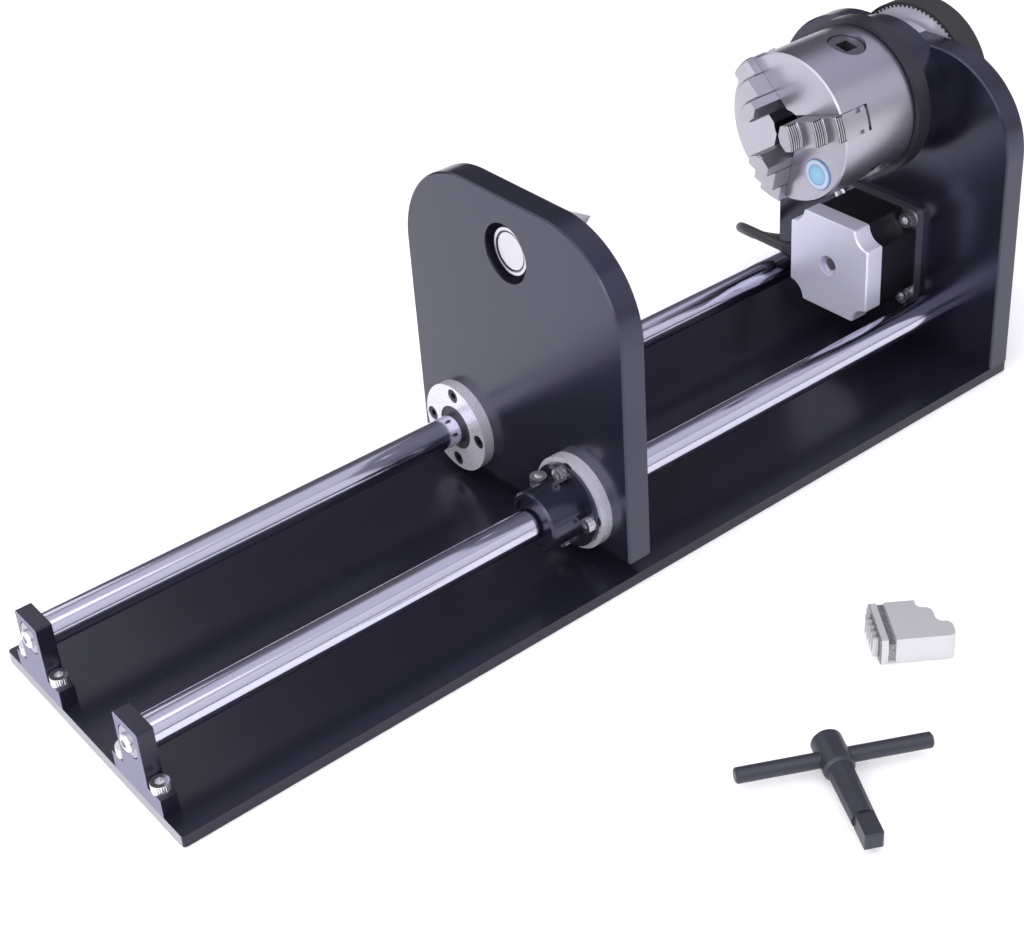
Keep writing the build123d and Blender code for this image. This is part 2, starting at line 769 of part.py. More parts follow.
for number, angle in enumerate(jaw_angles, start=1):
    faces = [chuck_face - height for height in jaw_step_heights]
    groove_r = spiral_start_r + spiral_step * ((angle % 360) / 90 - 0.5) + scroll_pitch / 2
    first = int((teeth_from_r - groove_r) // scroll_pitch) + 1
    last = int((teeth_to_r - groove_r) // scroll_pitch)
    outline = [
        (jaw_tip_r, jaw_back),
        (jaw_tip_r, faces[0]),
        (jaw_step_radii[0], faces[0]),
        (jaw_step_radii[0], faces[1]),
        (jaw_step_radii[1], faces[1]),
        (jaw_step_radii[1], faces[2]),
        (jaw_outer_r, faces[2]),
        (jaw_outer_r, jaw_back),
    ]
    with BuildPart() as jaw:
        teeth = [groove_r + n * scroll_pitch for n in range(first, last + 1)]
        shape_jaw(along_radius(angle), outline, jaw_round, tongue_start - free_gap / 2, jaw_back, teeth)
    save(jaw.part, f"jaw_{number}")


# Pinions: a head with a square socket for the key, a bevel cone and a short trunnion
socket_depth = 7.2
for number, angle in enumerate(pinion_angles, start=1):
    middle = Vector(pinion_x, 0, spindle_height)
    axis = Plane(origin=middle, x_dir=(1, 0, 0), z_dir=outward(angle))
    with BuildPart() as pinion:
        with BuildSketch(Plane(origin=middle, x_dir=outward(angle), z_dir=along_radius(angle).z_dir)):
            cone = bevel_pitch - bevel_root
            with BuildLine():
                Polyline(
                    (boss_inner_r + 1, 0),
                    (boss_inner_r + 1, trunnion_r),
                    (crown_inner_r + 0.3, trunnion_r),
                    (crown_inner_r + 0.3, crown_inner_r * cone),
                    (crown_outer_r + 0.5, crown_outer_r * cone),
                    (pinion_seat_r, crown_outer_r * cone),
                    (pinion_seat_r, pinion_r),
                    (pinion_head_end - 0.8, pinion_r),
                    (pinion_head_end, pinion_r - 0.8),
                    (pinion_head_end, 0),
                    close=True,
                )
            make_face()
        revolve(axis=Axis(middle, outward(angle)))
        with BuildSketch(axis.offset(pinion_head_end)):
            Rectangle(key_square + 0.1, key_square + 0.1)
        extrude(amount=-socket_depth, mode=Mode.SUBTRACT)
    save(pinion.part, f"pinion_{number}")

badge_r = 8.5
badge_orbit_r = 28.5
badge_thick = 0.8
badge_spot = on_spindle(chuck_face, pinion_angles[2], badge_orbit_r)
with BuildPart() as face_badge:
    tube(chuck_face - badge_thick, chuck_face, 0, badge_r, badge_spot.Y, badge_spot.Z)
    chamfer(face_badge.edges().filter_by(GeomType.CIRCLE).sort_by(Axis.X)[0], 0.3)
save(face_badge.part, "face_badge")


# Tailstock plate on two flanged linear bearings
tail_back = tail_front + plate_thick
flange_front = tail_front - bearing_flange_thick
sleeve_end = flange_front + bearing_total
bearing_bolt_angles = (0, 90, 180, 270)


def bolt_seats(x, y):
    """Seats for the four screws of a linear bearing's flange, at a place along X."""
    circle = bearing_pcd / 2
    return [
        facing_back(x, y + circle * cos(radians(a)), rail_height + circle * sin(radians(a)))
        for a in bearing_bolt_angles
    ]


sleeve_flange_r = 18.0
sleeve_flange_thick = 5.0
sleeve_nose = 16.0
sleeve_screw_r = 15.0
sleeve_seats = [
    across(tail_back + sleeve_flange_thick, *tuple(on_spindle(0, angle, sleeve_screw_r))[1:])
    for angle in (90, 210, 330)
]

with BuildPart() as tailstock_plate:
    end_plate(tail_front, tail_bottom)
    chamfer(tailstock_plate.faces().filter_by(Axis.X).edges(), plate_edge)
    bore(tail_front, tail_back, centre_sleeve_r + press_gap)
    bore(tail_front, tail_front + centre_recess_depth, centre_recess_r)
    for y in rail_sides:
        bore(tail_front, tail_back, bearing_sleeve_r + press_gap, y, rail_height)
        for seat in bolt_seats(tail_front, y):
            drill(seat, M4, plate_thick - 2)
    for seat in sleeve_seats:
        drill(seat, M3, sleeve_flange_thick + 6)
save(tailstock_plate.part, "tailstock_plate")

liner_r = 12.0
flange_sink = M4[2] + 0.4
for name, y in zip(("near", "far"), rail_sides):
    with BuildPart() as linear_bearing:
        tube(flange_front, tail_front, liner_r, bearing_flange_r, y, rail_height)
        tube(flange_front, sleeve_end, liner_r, bearing_sleeve_r, y, rail_height)
        for seat in bolt_seats(flange_front, y):
            drill(seat, M4, bearing_flange_thick)
            with BuildSketch(seat) as sink:
                Circle(M4[1] + free_gap)
            extrude(sink.sketch, amount=-flange_sink, mode=Mode.SUBTRACT)
    save(linear_bearing.part, f"linear_bearing_{name}")

with BuildPart() as bearing_liners:
    for y in rail_sides:
        tube(flange_front + 0.5, sleeve_end - 0.5, rail_d / 2 + run_gap, liner_r, y, rail_height)
save(bearing_liners.part, "bearing_liners")

with BuildPart() as far_bearing_screws:
    for seat in bolt_seats(flange_front, rail_sides[1]):
        cap_screw(seat.offset(-flange_sink), M4, plate_thick - 2)
save(far_bearing_screws.part, "far_bearing_screws")

# Lock collar on the near rail: a disc over the bearing flange and a slit hub with a clamp screw
collar_front = flange_front - collar_disc_thick
hub_front = collar_front - collar_hub_length
collar_slit = 2.0
clamp_offset = 11.5
clamp_seat_z = rail_height + 9.5
clamp_x = collar_front - 6.0
clamp_size = M5
clamp_length = 18.0
nose_r = 12.5
nose_depth = 1.5
near_y = rail_sides[0]

with BuildPart() as lock_collar:
    tube(collar_front, flange_front, 0, collar_disc_r, near_y, rail_height)
    tube(hub_front, collar_front, 0, collar_hub_r, near_y, rail_height)
    chamfer(lock_collar.edges().filter_by(GeomType.CIRCLE).sort_by(Axis.X)[0], 1.0)
    bore(hub_front, flange_front, rail_d / 2 + run_gap, near_y, rail_height)
    bore(hub_front, hub_front + nose_depth, nose_r, near_y, rail_height)
    with BuildSketch(across(hub_front, near_y, rail_height)):
        Rectangle(collar_hub_r + 1, collar_slit, align=(Align.MIN, Align.CENTER))
    extrude(amount=collar_hub_length, mode=Mode.SUBTRACT)
    clamp_plane = Plane(origin=(clamp_x, near_y + clamp_offset, clamp_seat_z), z_dir=(0, 0, 1))
    with BuildSketch(clamp_plane):
        Circle(clamp_size[1] + 0.3)
    extrude(amount=collar_hub_r, mode=Mode.SUBTRACT)
    with BuildSketch(clamp_plane):
        Circle(clamp_size[0] + run_gap)
    extrude(amount=-clamp_length - 1, mode=Mode.SUBTRACT)
    for seat in bolt_seats(collar_front, near_y):
        drill(seat, M4, collar_disc_thick)
save(lock_collar.part, "lock_collar")

with BuildPart() as collar_clamp_screw:
    cap_screw(clamp_plane, clamp_size, clamp_length)
save(collar_clamp_screw.part, "collar_clamp_screw")

with BuildPart() as collar_screws:
    for seat in bolt_seats(collar_front, near_y):
        cap_screw(seat, M4, collar_disc_thick + bearing_flange_thick + plate_thick - 3)
save(collar_screws.part, "collar_screws")

# Live centre: an arbor with a sixty-degree point, turning on two small bearings in a sleeve
centre_bore_r = 10.5
arbor_r = 6.0
small_bearing_width = 5.0
sleeve_rear = tail_front + centre_setback
sleeve_front = tail_back + sleeve_nose
cap_r = 9.4
cap_thick = 2.5

with BuildPart() as centre_sleeve:
    tube(sleeve_rear, sleeve_front, 0, centre_sleeve_r)
    tube(tail_back, tail_back + sleeve_flange_thick, 0, sleeve_flange_r)
    bore(sleeve_rear, sleeve_front, centre_bore_r)
    for seat in sleeve_seats:
        drill(seat, M3, sleeve_flange_thick)
save(centre_sleeve.part, "centre_sleeve")

with BuildPart() as sleeve_screws:
    for seat in sleeve_seats:
        cap_screw(seat, M3, sleeve_flange_thick + 6)
save(sleeve_screws.part, "sleeve_screws")

centre_ball_starts = (sleeve_rear + cap_thick + 1.0, sleeve_front - small_bearing_width)
bearing_rings("centre_bearing", centre_ball_starts, small_bearing_width, arbor_r, centre_bore_r)

cone_base = sleeve_front + 1.5
cone_length = centre_cone_r / tan(radians(30))
with BuildPart() as live_centre:
    tube(sleeve_rear + cap_thick, cone_base, 0, arbor_r)
    with BuildSketch(along_radius(0)):
        with BuildLine():
            Polyline(
                (0, sleeve_front + 0.5),
                (centre_cone_r, sleeve_front + 0.5),
                (centre_cone_r, cone_base + 4),
                (0, cone_base + 4 + cone_length),
                close=True,
            )
        make_face()
    revolve(axis=Axis((0, 0, spindle_height), (1, 0, 0)))
save(live_centre.part, "live_centre")

with BuildPart() as centre_end_cap:
    tube(sleeve_rear + 0.4, sleeve_rear + cap_thick, 0, cap_r)
save(centre_end_cap.part, "centre_end_cap")


# Motor cable: out of the bell's far side, round the headstock's edge, down to the surface and into a coil
gland_length = 10.0
gland_r = 4.2
cable_exit_y = motor_side / 2
with BuildPart() as cable_gland:
    with BuildSketch(Plane(origin=(cable_x, cable_exit_y, cable_z), x_dir=(1, 0, 0), z_dir=(0, 1, 0))):
        Circle(gland_r)
    extrude(amount=gland_length, taper=4)
save(cable_gland.part, "cable_gland")

cable_route = [
    (cable_x, cable_exit_y + gland_length, cable_z),
    (cable_x, 58, cable_z),
    (214, 77, 49),
    (228, 91, 38),
    (250, 98, 21),
    (279, 97, 7.5),
    (312, 96, cable_d / 2 + 0.1),
]


def bend_radii(points):
    """The largest arc that each corner's shorter run allows."""
    spots = [Vector(*point) for point in points]
    radii = []
    for before, corner, after in zip(spots, spots[1:], spots[2:]):
        arriving, leaving = corner - before, after - corner
        half_turn = radians(arriving.get_angle(leaving)) / 2
        radii.append(0.45 * min(arriving.length, leaving.length) / tan(half_turn))
    return radii


cable_radii = bend_radii(cable_route)
with BuildPart() as motor_cable:
    with BuildLine() as route:
        FilletPolyline(*cable_route, radius=cable_radii)
    with BuildSketch(Plane(origin=route.line @ 0, z_dir=route.line % 0)):
        Circle(cable_d / 2)
    sweep()
save(motor_cable.part, "motor_cable")
route_length = sum(edge.length for edge in route.edges())
tube_volume = pi * (cable_d / 2) ** 2 * route_length
print("cable radii", [round(radius, 1) for radius in cable_radii])
volume_ratio = motor_cable.part.volume / tube_volume
print("cable length", round(route_length, 1), "volume ratio", round(volume_ratio, 5))

coil_mid_r = 5.5 * cable_d
coil_x = cable_route[-1][0] + 2
coil_y = cable_route[-1][1] - coil_mid_r - cable_d / 2
coil_lift = 0.1
with BuildPart() as cable_coil:
    with BuildSketch(Plane.XY.offset(coil_lift)):
        with Locations((coil_x, coil_y)):
            Circle(coil_mid_r + cable_d)
            Circle(coil_mid_r - cable_d, mode=Mode.SUBTRACT)
    extrude(amount=2 * cable_d)
    fillet(cable_coil.edges().filter_by(GeomType.CIRCLE), cable_d / 2.2)
save(cable_coil.part, "cable_coil")

# The free end turns in from the coil's inner row and carries a four-way plug with a round boot
tail_angle = 200.0
tail_turn = 60.0
boot_r = 4.0
boot_length = 13.0
plug_length = 20.0
plug_width = 12.4
plug_height = 2 * boot_r
pin_pitch = 2.5
pin_hole = 1.2
tail_r = coil_mid_r - cable_d / 2
tail_start = (
    coil_x + tail_r * cos(radians(tail_angle)),
    coil_y + tail_r * sin(radians(tail_angle)),
    plug_height / 2 + coil_lift,
)
tail_heading = radians(tail_angle - 90 - tail_turn)
tail_plane = Plane(origin=tail_start, x_dir=(0, 0, 1), z_dir=(cos(tail_heading), sin(tail_heading), 0))
with BuildPart() as cable_plug:
    with BuildSketch(tail_plane):
        Circle(boot_r)
    extrude(amount=boot_length)
    with BuildSketch(tail_plane.offset(boot_length)):
        Rectangle(plug_height, plug_width)
    extrude(amount=plug_length)
    chamfer(cable_plug.edges().filter_by(lambda e: abs(e.length - plug_length) < 0.1), 0.6)
    with BuildSketch(tail_plane.offset(boot_length + plug_length)):
        with GridLocations(1, pin_pitch, 1, 4):
            Rectangle(pin_hole, pin_hole)
    extrude(amount=-plug_length / 2, mode=Mode.SUBTRACT)
save(cable_plug.part, "cable_plug")


# Chuck key, lying beside the base: a stem with a square end and a loose cross bar
key_spot = (-35.0, -228.0)
key_heading = (-0.472, -0.882, 0)
key_head_r = 7.0
key_head_above = 11.0
key_shoulder = 8.0
key_stem_end = 36.0
key_length = 49.0
key_stem_r = (5.8, 5.3)
key_bar_r = 3.5
key_bar_length = 86.0
key_plane = Plane(
    origin=(key_spot[0], key_spot[1], key_head_r + coil_lift), x_dir=(0, 0, 1), z_dir=key_heading
)
with BuildPart() as key_shank:
    with BuildSketch(key_plane.offset(-key_head_above)):
        Circle(key_head_r)
    extrude(amount=key_head_above + key_shoulder)
    chamfer(key_shank.edges().filter_by(GeomType.CIRCLE), 1.2)
    with BuildSketch(key_plane.offset(key_shoulder)):
        RegularPolygon(key_stem_r[0], 12)
    with BuildSketch(key_plane.offset(key_stem_end)):
        RegularPolygon(key_stem_r[1], 12)
    loft()
    with BuildSketch(key_plane.offset(key_stem_end)):
        Rectangle(key_square, key_square)
    extrude(amount=key_length - key_stem_end)
    flat_faces = key_shank.faces().filter_by(GeomType.PLANE)
    chamfer(flat_faces.sort_by(lambda f: f.distance_to(key_plane.origin))[-1].edges(), 0.8)
    with BuildSketch(Plane(origin=key_plane.origin, x_dir=(0, 0, 1), z_dir=key_plane.y_dir)):
        Circle(key_bar_r + press_gap)
    extrude(amount=key_head_r + 1, both=True, mode=Mode.SUBTRACT)
save(key_shank.part, "key_shank")

with BuildPart() as key_bar:
    with BuildSketch(Plane(origin=key_plane.origin, x_dir=(0, 0, 1), z_dir=key_plane.y_dir)):
        Circle(key_bar_r)
    extrude(amount=key_bar_length / 2, both=True)
    chamfer(key_bar.edges().filter_by(GeomType.CIRCLE), 0.8)
save(key_bar.part, "key_bar")


# Spare jaw for outside steps, lying on its side: the steps rise outwards instead of inwards
spare_spot = (51.0, -195.0)
spare_heading = (-0.58, -0.81, 0)
spare_height = jaw_step_heights[0] + chuck_front_wall
spare_step = 6.6
spare_round = 3.2
spare_middle = Plane(
    origin=(spare_spot[0], spare_spot[1], jaw_width / 2 + coil_lift), x_dir=spare_heading, z_dir=(0, 0, -1)
)
spare_plane = Plane(
    origin=spare_middle.from_local_coords((-(jaw_tip_r + jaw_outer_r) / 2, 0, 0)),
    x_dir=spare_heading,
    z_dir=(0, 0, -1),
)
spare_risers = [jaw_tip_r + (jaw_outer_r - jaw_tip_r) * n / 3 for n in (1, 2)]
spare_back = spare_height / 2
spare_faces = [n * spare_step - spare_back for n in (2, 1, 0)]
spare_outline = [
    (jaw_tip_r, spare_back),
    (jaw_tip_r, spare_faces[0]),
    (spare_risers[0], spare_faces[0]),
    (spare_risers[0], spare_faces[1]),
    (spare_risers[1], spare_faces[1]),
    (spare_risers[1], spare_faces[2]),
    (jaw_outer_r, spare_faces[2]),
    (jaw_outer_r, spare_back),
]
spare_groove = spare_back - (jaw_back - tongue_start) - free_gap / 2
spare_teeth = [teeth_to_r - 2 - n * scroll_pitch for n in range(5)]
with BuildPart() as spare_jaw:
    shape_jaw(spare_plane, spare_outline, spare_round, spare_groove, spare_back, spare_teeth)
save(spare_jaw.part, "spare_jaw")
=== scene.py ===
# %% [markdown]
# # A laser rotary attachment, dressed for its picture
#
# The machine turns round workpieces under a laser: a three-jaw chuck on a belt-driven spindle at one end,
# a tailstock that slides on two polished rods at the other. The measured solids are already in the file,
# so this lesson is about what makes them look real: finishes, light, a camera, and the small repeated
# things that a maker adds last.

# %% Load the measured solids
from math import asin, cos, pi, radians, sin

import bmesh
import bpy
from mathutils import Matrix, Vector


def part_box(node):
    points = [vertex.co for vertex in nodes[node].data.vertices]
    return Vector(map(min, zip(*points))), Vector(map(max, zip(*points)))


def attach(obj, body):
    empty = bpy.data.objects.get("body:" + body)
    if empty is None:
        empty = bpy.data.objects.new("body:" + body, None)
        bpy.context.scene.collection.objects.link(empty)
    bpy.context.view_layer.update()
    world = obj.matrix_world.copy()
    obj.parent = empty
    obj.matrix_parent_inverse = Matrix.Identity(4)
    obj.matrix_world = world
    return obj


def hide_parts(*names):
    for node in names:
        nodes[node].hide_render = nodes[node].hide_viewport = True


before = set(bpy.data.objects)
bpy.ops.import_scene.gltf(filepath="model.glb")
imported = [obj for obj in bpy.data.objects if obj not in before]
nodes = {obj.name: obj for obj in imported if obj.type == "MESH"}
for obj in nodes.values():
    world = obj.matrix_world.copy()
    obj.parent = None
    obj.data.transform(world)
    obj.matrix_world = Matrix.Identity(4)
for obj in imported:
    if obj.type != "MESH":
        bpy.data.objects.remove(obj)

scene = bpy.context.scene
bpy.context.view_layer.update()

# %% [markdown]
# ## The camera
#
# A camera that was fitted to the edges of the base, the plates and the rods gives the same perspective as
# the photograph. It could be placed by eye and nudged, but then no edge ever lines up. Its numbers are a
# place, three turns and a lens, so we build its matrix from the direction in which it looks. The picture's
# middle lies 100 pixels off the lens's axis, and a shift of the lens takes care of that.

# %% Camera
image_width = 1024
camera_place = Vector((-0.476931, -0.616464, 0.569195))
heading, drop, tilt = radians(53.27), radians(32.034), radians(4.238)
focal_pixels = 1886.21
frame_drop = 100.0

looking = Vector((cos(heading) * cos(drop), sin(heading) * cos(drop), -sin(drop)))
level_right = Vector((sin(heading), -cos(heading), 0))
level_down = looking.cross(level_right)
right = cos(tilt) * level_right + sin(tilt) * level_down
down = -sin(tilt) * level_right + cos(tilt) * level_down

camera_data = bpy.data.cameras.new("photo_camera")
camera_data.sensor_width = 36
camera_data.sensor_fit = "HORIZONTAL"
camera_data.lens = focal_pixels / image_width * 36
camera_data.shift_y = -frame_drop / image_width
camera_data.clip_start, camera_data.clip_end = 0.05, 20
camera = bpy.data.objects.new("photo_camera", camera_data)
turn = Matrix((right, -down, -looking)).transposed()
camera.matrix_world = Matrix.Translation(camera_place) @ turn.to_4x4()
scene.collection.objects.link(camera)
scene.camera = camera
scene.view_settings.view_transform = "Standard"
print("lens", round(camera_data.lens, 2), "mm")

# %% [markdown]
# ## Small helpers
#
# A material is a small machine of nodes, and each sum or mask in it takes several lines to wire. The nodes
# could be placed by hand in the editor, but a script can be read and changed. These few functions keep each
# material down to what makes it different.

# %% Helpers for materials and node trees
finishes = {}


def new_material(name, color, roughness, metallic=0.0):
    """A material with a Principled shader, kept in finishes; its tree and shader come back to be wired."""
    finishes[name] = bpy.data.materials.new(name)
    finishes[name].use_nodes = True
    tree = finishes[name].node_tree
    shader = tree.nodes["Principled BSDF"]
    shader.inputs["Base Color"].default_value = (*color, 1)
    shader.inputs["Roughness"].default_value = roughness
    shader.inputs["Metallic"].default_value = metallic
    return tree, shader


def add(tree, kind, **values):
    """A node, with its properties and its input defaults set by name."""
    node = tree.nodes.new(kind)
    for key, value in values.items():
        if key.startswith("in_"):
            node.inputs[key[3:].replace("_", " ")].default_value = value
        else:
            setattr(node, key, value)
    return node


def join_nodes(tree, *pairs):
    """Links, each from an output socket to an input socket."""
    for source, target in pairs:
        tree.links.new(source, target)


def feed(tree, socket, value):
    """Give an input its value: a plain one, or a link from another socket."""
    if isinstance(value, bpy.types.NodeSocket):
        tree.links.new(value, socket)
    else:
        socket.default_value = value


def math_node(tree, operation, *values, clamp=False):
    """One sum: numbers or sockets in, a socket out."""
    node = add(tree, "ShaderNodeMath", operation=operation, use_clamp=clamp)
    for socket, value in zip(node.inputs, values):
        feed(tree, socket, value)
    return node.outputs[0]


def vector_node(tree, operation, a, b):
    """One sum of two vectors."""
    node = add(tree, "ShaderNodeVectorMath", operation=operation)
    feed(tree, node.inputs[0], a)
    feed(tree, node.inputs[1], b)
    return node.outputs["Value" if operation == "DOT_PRODUCT" else "Vector"]


def parts_of(tree, vector):
    """The X, Y and Z of a vector."""
    node = tree.nodes.new("ShaderNodeSeparateXYZ")
    tree.links.new(vector, node.inputs[0])
    return node.outputs


# %% [markdown]
# ## The floor
#
# A product picture stands on white paper that runs on behind it. A floor that is only white turns grey in
# the corners, where less light falls. More light would burn out the object, so the paper glows a little
# instead, but only for the rays that look at it. It still takes the object's shadow.

# %% Floor
floor_mesh = bpy.data.meshes.new("floor")
reach, paper_z, paper_glow = 3.0, -0.0005, 0.22
corners = [(x * reach, y * reach, paper_z) for x, y in ((-1, -1), (1, -1), (1, 1), (-1, 1))]
floor_mesh.from_pydata(corners, [], [(0, 1, 2, 3)])
floor = bpy.data.objects.new("floor", floor_mesh)
scene.collection.objects.link(floor)

tree, shader = new_material("white_paper", (0.86, 0.86, 0.87), 0.6)
path = tree.nodes.new("ShaderNodeLightPath")
seen = math_node(tree, "MAXIMUM", path.outputs["Is Camera Ray"], path.outputs["Is Glossy Ray"])
seen = math_node(tree, "MAXIMUM", seen, path.outputs["Is Transmission Ray"])
glow = add(tree, "ShaderNodeEmission", in_Strength=paper_glow)
both = tree.nodes.new("ShaderNodeAddShader")
pick = tree.nodes.new("ShaderNodeMixShader")
join_nodes(
    tree,
    (shader.outputs[0], both.inputs[0]),
    (glow.outputs[0], both.inputs[1]),
    (seen, pick.inputs[0]),
    (shader.outputs[0], pick.inputs[1]),
    (both.outputs[0], pick.inputs[2]),
    (pick.outputs[0], tree.nodes["Material Output"].inputs[0]),
)
floor_mesh.materials.append(finishes["white_paper"])
print("floor", 2 * reach, "m wide")


# %% [markdown]
# ## What the metal mirrors
#
# Polished metal shows only what stands around it. So the world is a simple studio: pale above, darker on the
# far side, with two thin dark lines just over the floor. Those lines give the rods their long dark stripes.
# A picture of a real studio could do it too, but a ramp has no size, needs no file and is easy to change.
# The camera itself, and what looks through glass, see plain white.

# %% World
def color_ramp(tree, source, stops):
    """A ramp of colours over a number: (place, colour) pairs."""
    node = tree.nodes.new("ShaderNodeValToRGB")
    ramp = node.color_ramp
    while len(ramp.elements) < len(stops):
        ramp.elements.new(0.5)
    for element, (spot, color) in zip(ramp.elements, stops):
        element.position = spot
        element.color = (*color, 1)
    tree.links.new(source, node.inputs[0])
    return node.outputs[0]


def mix_colors(tree, factor, a, b, kind="MIX"):
    """Two colours mixed by a factor: numbers, colours or sockets in, a socket out."""
    node = add(tree, "ShaderNodeMix", data_type="RGBA", blend_type=kind)
    for label, value in (("Factor", factor), ("A", a), ("B", b)):
        feed(tree, node.inputs[label], (*value, 1) if isinstance(value, tuple) else value)
    return node.outputs["Result"]


world = bpy.data.worlds.new("studio")
scene.world = world
world.use_nodes = True
sky = world.node_tree
toward = parts_of(sky, sky.nodes.new("ShaderNodeTexCoord").outputs["Generated"])
paper_white, line_dark, haze = (1.0, 1.0, 1.0), (0.05, 0.05, 0.08), (0.50, 0.49, 0.58)
plain_light = color_ramp(sky, toward["Z"], [(0.0, (0.30, 0.29, 0.33)), (0.55, (0.84, 0.83, 0.90))])
mirrored = color_ramp(sky, toward["Z"], [
    (0.0, paper_white), (0.004, line_dark), (0.045, line_dark), (0.060, haze), (0.085, haze),
    (0.100, line_dark), (0.130, line_dark), (0.160, (0.42, 0.41, 0.50)), (0.60, (0.50, 0.49, 0.59)),
    (0.85, (0.76, 0.75, 0.86)),
])
far_side = add(
    sky, "ShaderNodeMapRange", interpolation_type="SMOOTHSTEP", in_From_Min=0.25, in_From_Max=0.62,
    in_To_Min=1.0, in_To_Max=0.30,
)
sky.links.new(toward["Y"], far_side.inputs["Value"])
above = math_node(sky, "GREATER_THAN", toward["Z"], 0.0)
fade = math_node(sky, "MULTIPLY", above, math_node(sky, "SUBTRACT", 1.0, far_side.outputs["Result"]))
shaded = mix_colors(sky, 1.0, mirrored, math_node(sky, "SUBTRACT", 1.0, fade), "MULTIPLY")
path = sky.nodes.new("ShaderNodeLightPath")
lit = mix_colors(sky, path.outputs["Is Glossy Ray"], plain_light, shaded)
open_view = math_node(sky, "MAXIMUM", path.outputs["Is Camera Ray"], path.outputs["Is Transmission Ray"])
background = sky.nodes["Background"]
sky.links.new(mix_colors(sky, open_view, lit, paper_white), background.inputs[0])
background.inputs[1].default_value = 1.0
print("world:", world.name, "with", len(sky.nodes), "nodes")


# %% [markdown]
# ## Lamps
#
# Four large soft boxes light the machine as in a photographer's tent: a key from above, a weak one at the
# side, one behind for the edges and one in front for the faces toward the camera. Small lamps would give
# hard shadows and bright spots on the black plates.

# %% Lamps
def lamp(name, place, aim, size, power):
    """A rectangular soft box that faces the point it lights."""
    data = bpy.data.lights.new(name, "AREA")
    data.shape, data.size, data.size_y, data.energy = "RECTANGLE", size[0], size[1], power
    box = bpy.data.objects.new(name, data)
    box.location = place
    box.rotation_mode = "QUATERNION"
    box.rotation_quaternion = (Vector(aim) - Vector(place)).to_track_quat("-Z", "Y")
    scene.collection.objects.link(box)


lamp("key_box", (-0.8, -0.5, 1.5), (0.0, 0.0, 0.08), (2.4, 2.4), 20)
lamp("side_box", (0.5, -1.5, 0.8), (0.1, 0.0, 0.10), (2.6, 1.4), 5)
lamp("back_box", (-0.5, 1.4, 1.3), (0.1, 0.0, 0.10), (2.0, 1.2), 8)
lamp("front_box", (-1.5, -0.5, 0.55), (0.1, 0.0, 0.08), (1.4, 0.8), 9)

# %% [markdown]
# ## Effects that several finishes share
#
# Turned steel, anodised plate and cast metal all need the same few effects: a cloudy change of gloss where
# hands and oil have been, the fine rings of a lathe, and the straight grain of a drawn or sanded face. Each
# is built once as a node group with its own inputs, so that every finish can ask for a different amount. A
# group puts out values and normals only. The shader itself stays in the material, where an exporter can
# read it.

# %% Helpers for shader groups
def new_group(name, inputs, outputs):
    """An empty shader group with named sockets: (name, default) in, (name, kind) out."""
    group = bpy.data.node_groups.new(name, "ShaderNodeTree")
    for label, default in inputs:
        kind = "NodeSocketVector" if isinstance(default, tuple) else "NodeSocketFloat"
        socket = group.interface.new_socket(label, in_out="INPUT", socket_type=kind)
        socket.default_value = default
    for label, kind in outputs:
        group.interface.new_socket(label, in_out="OUTPUT", socket_type=kind)
    return group, group.nodes.new("NodeGroupInput"), group.nodes.new("NodeGroupOutput")


def object_place(tree):
    """The place of each shaded point."""
    return tree.nodes.new("ShaderNodeTexCoord").outputs["Object"]


def distance_from_x(tree, vector):
    """How far a vector reaches from the X axis."""
    parts = parts_of(tree, vector)
    squares = math_node(tree, "MULTIPLY", parts["Y"], parts["Y"])
    squares = math_node(tree, "MULTIPLY_ADD", parts["Z"], parts["Z"], squares)
    return math_node(tree, "SQRT", squares)


def relief_of(tree, start, end, noise):
    """The normals that a noise gives as a relief of at most 0.2 mm, at the depth that is asked for."""
    relief = add(tree, "ShaderNodeBump", in_Distance=0.0002)
    join_nodes(
        tree,
        (noise.outputs["Fac"], relief.inputs["Height"]),
        (start.outputs["Depth"], relief.inputs["Strength"]),
        (relief.outputs[0], end.inputs["Normal"]),
    )


# %% Group: cloudy gloss
handling, start, end = new_group(
    "handling",
    [("Scale", 30.0), ("Gloss change", 0.1), ("Roughness", 0.3)],
    [("Roughness", "NodeSocketFloat")],
)
cloud = add(handling, "ShaderNodeTexNoise", in_Detail=5.0, in_Roughness=0.6)
swing = math_node(handling, "SUBTRACT", cloud.outputs["Fac"], 0.5)
swing = math_node(handling, "MULTIPLY", swing, start.outputs["Gloss change"])
total = math_node(handling, "ADD", swing, start.outputs["Roughness"], clamp=True)
join_nodes(
    handling,
    (object_place(handling), cloud.inputs["Vector"]),
    (start.outputs["Scale"], cloud.inputs["Scale"]),
    (total, end.inputs["Roughness"]),
)
print("group:", handling.name)

# %% Group: rings of a lathe
turned, start, end = new_group(
    "turned_lines",
    [("Centre", (0.0, 0.0, 0.0)), ("Lines per metre", 2500.0), ("Depth", 0.1)],
    [("Normal", "NodeSocketVector")],
)
from_centre = vector_node(turned, "SUBTRACT", object_place(turned), start.outputs["Centre"])
both_ways = turned.nodes.new("ShaderNodeCombineXYZ")
measures = (distance_from_x(turned, from_centre), parts_of(turned, from_centre)["X"])
for measure, socket in zip(measures, both_ways.inputs):
    turned.links.new(math_node(turned, "MULTIPLY", measure, start.outputs["Lines per metre"]), socket)
lines = add(turned, "ShaderNodeTexNoise", in_Scale=1.0, in_Detail=2.0)
turned.links.new(both_ways.outputs[0], lines.inputs["Vector"])
relief_of(turned, start, end, lines)
print("group:", turned.name)

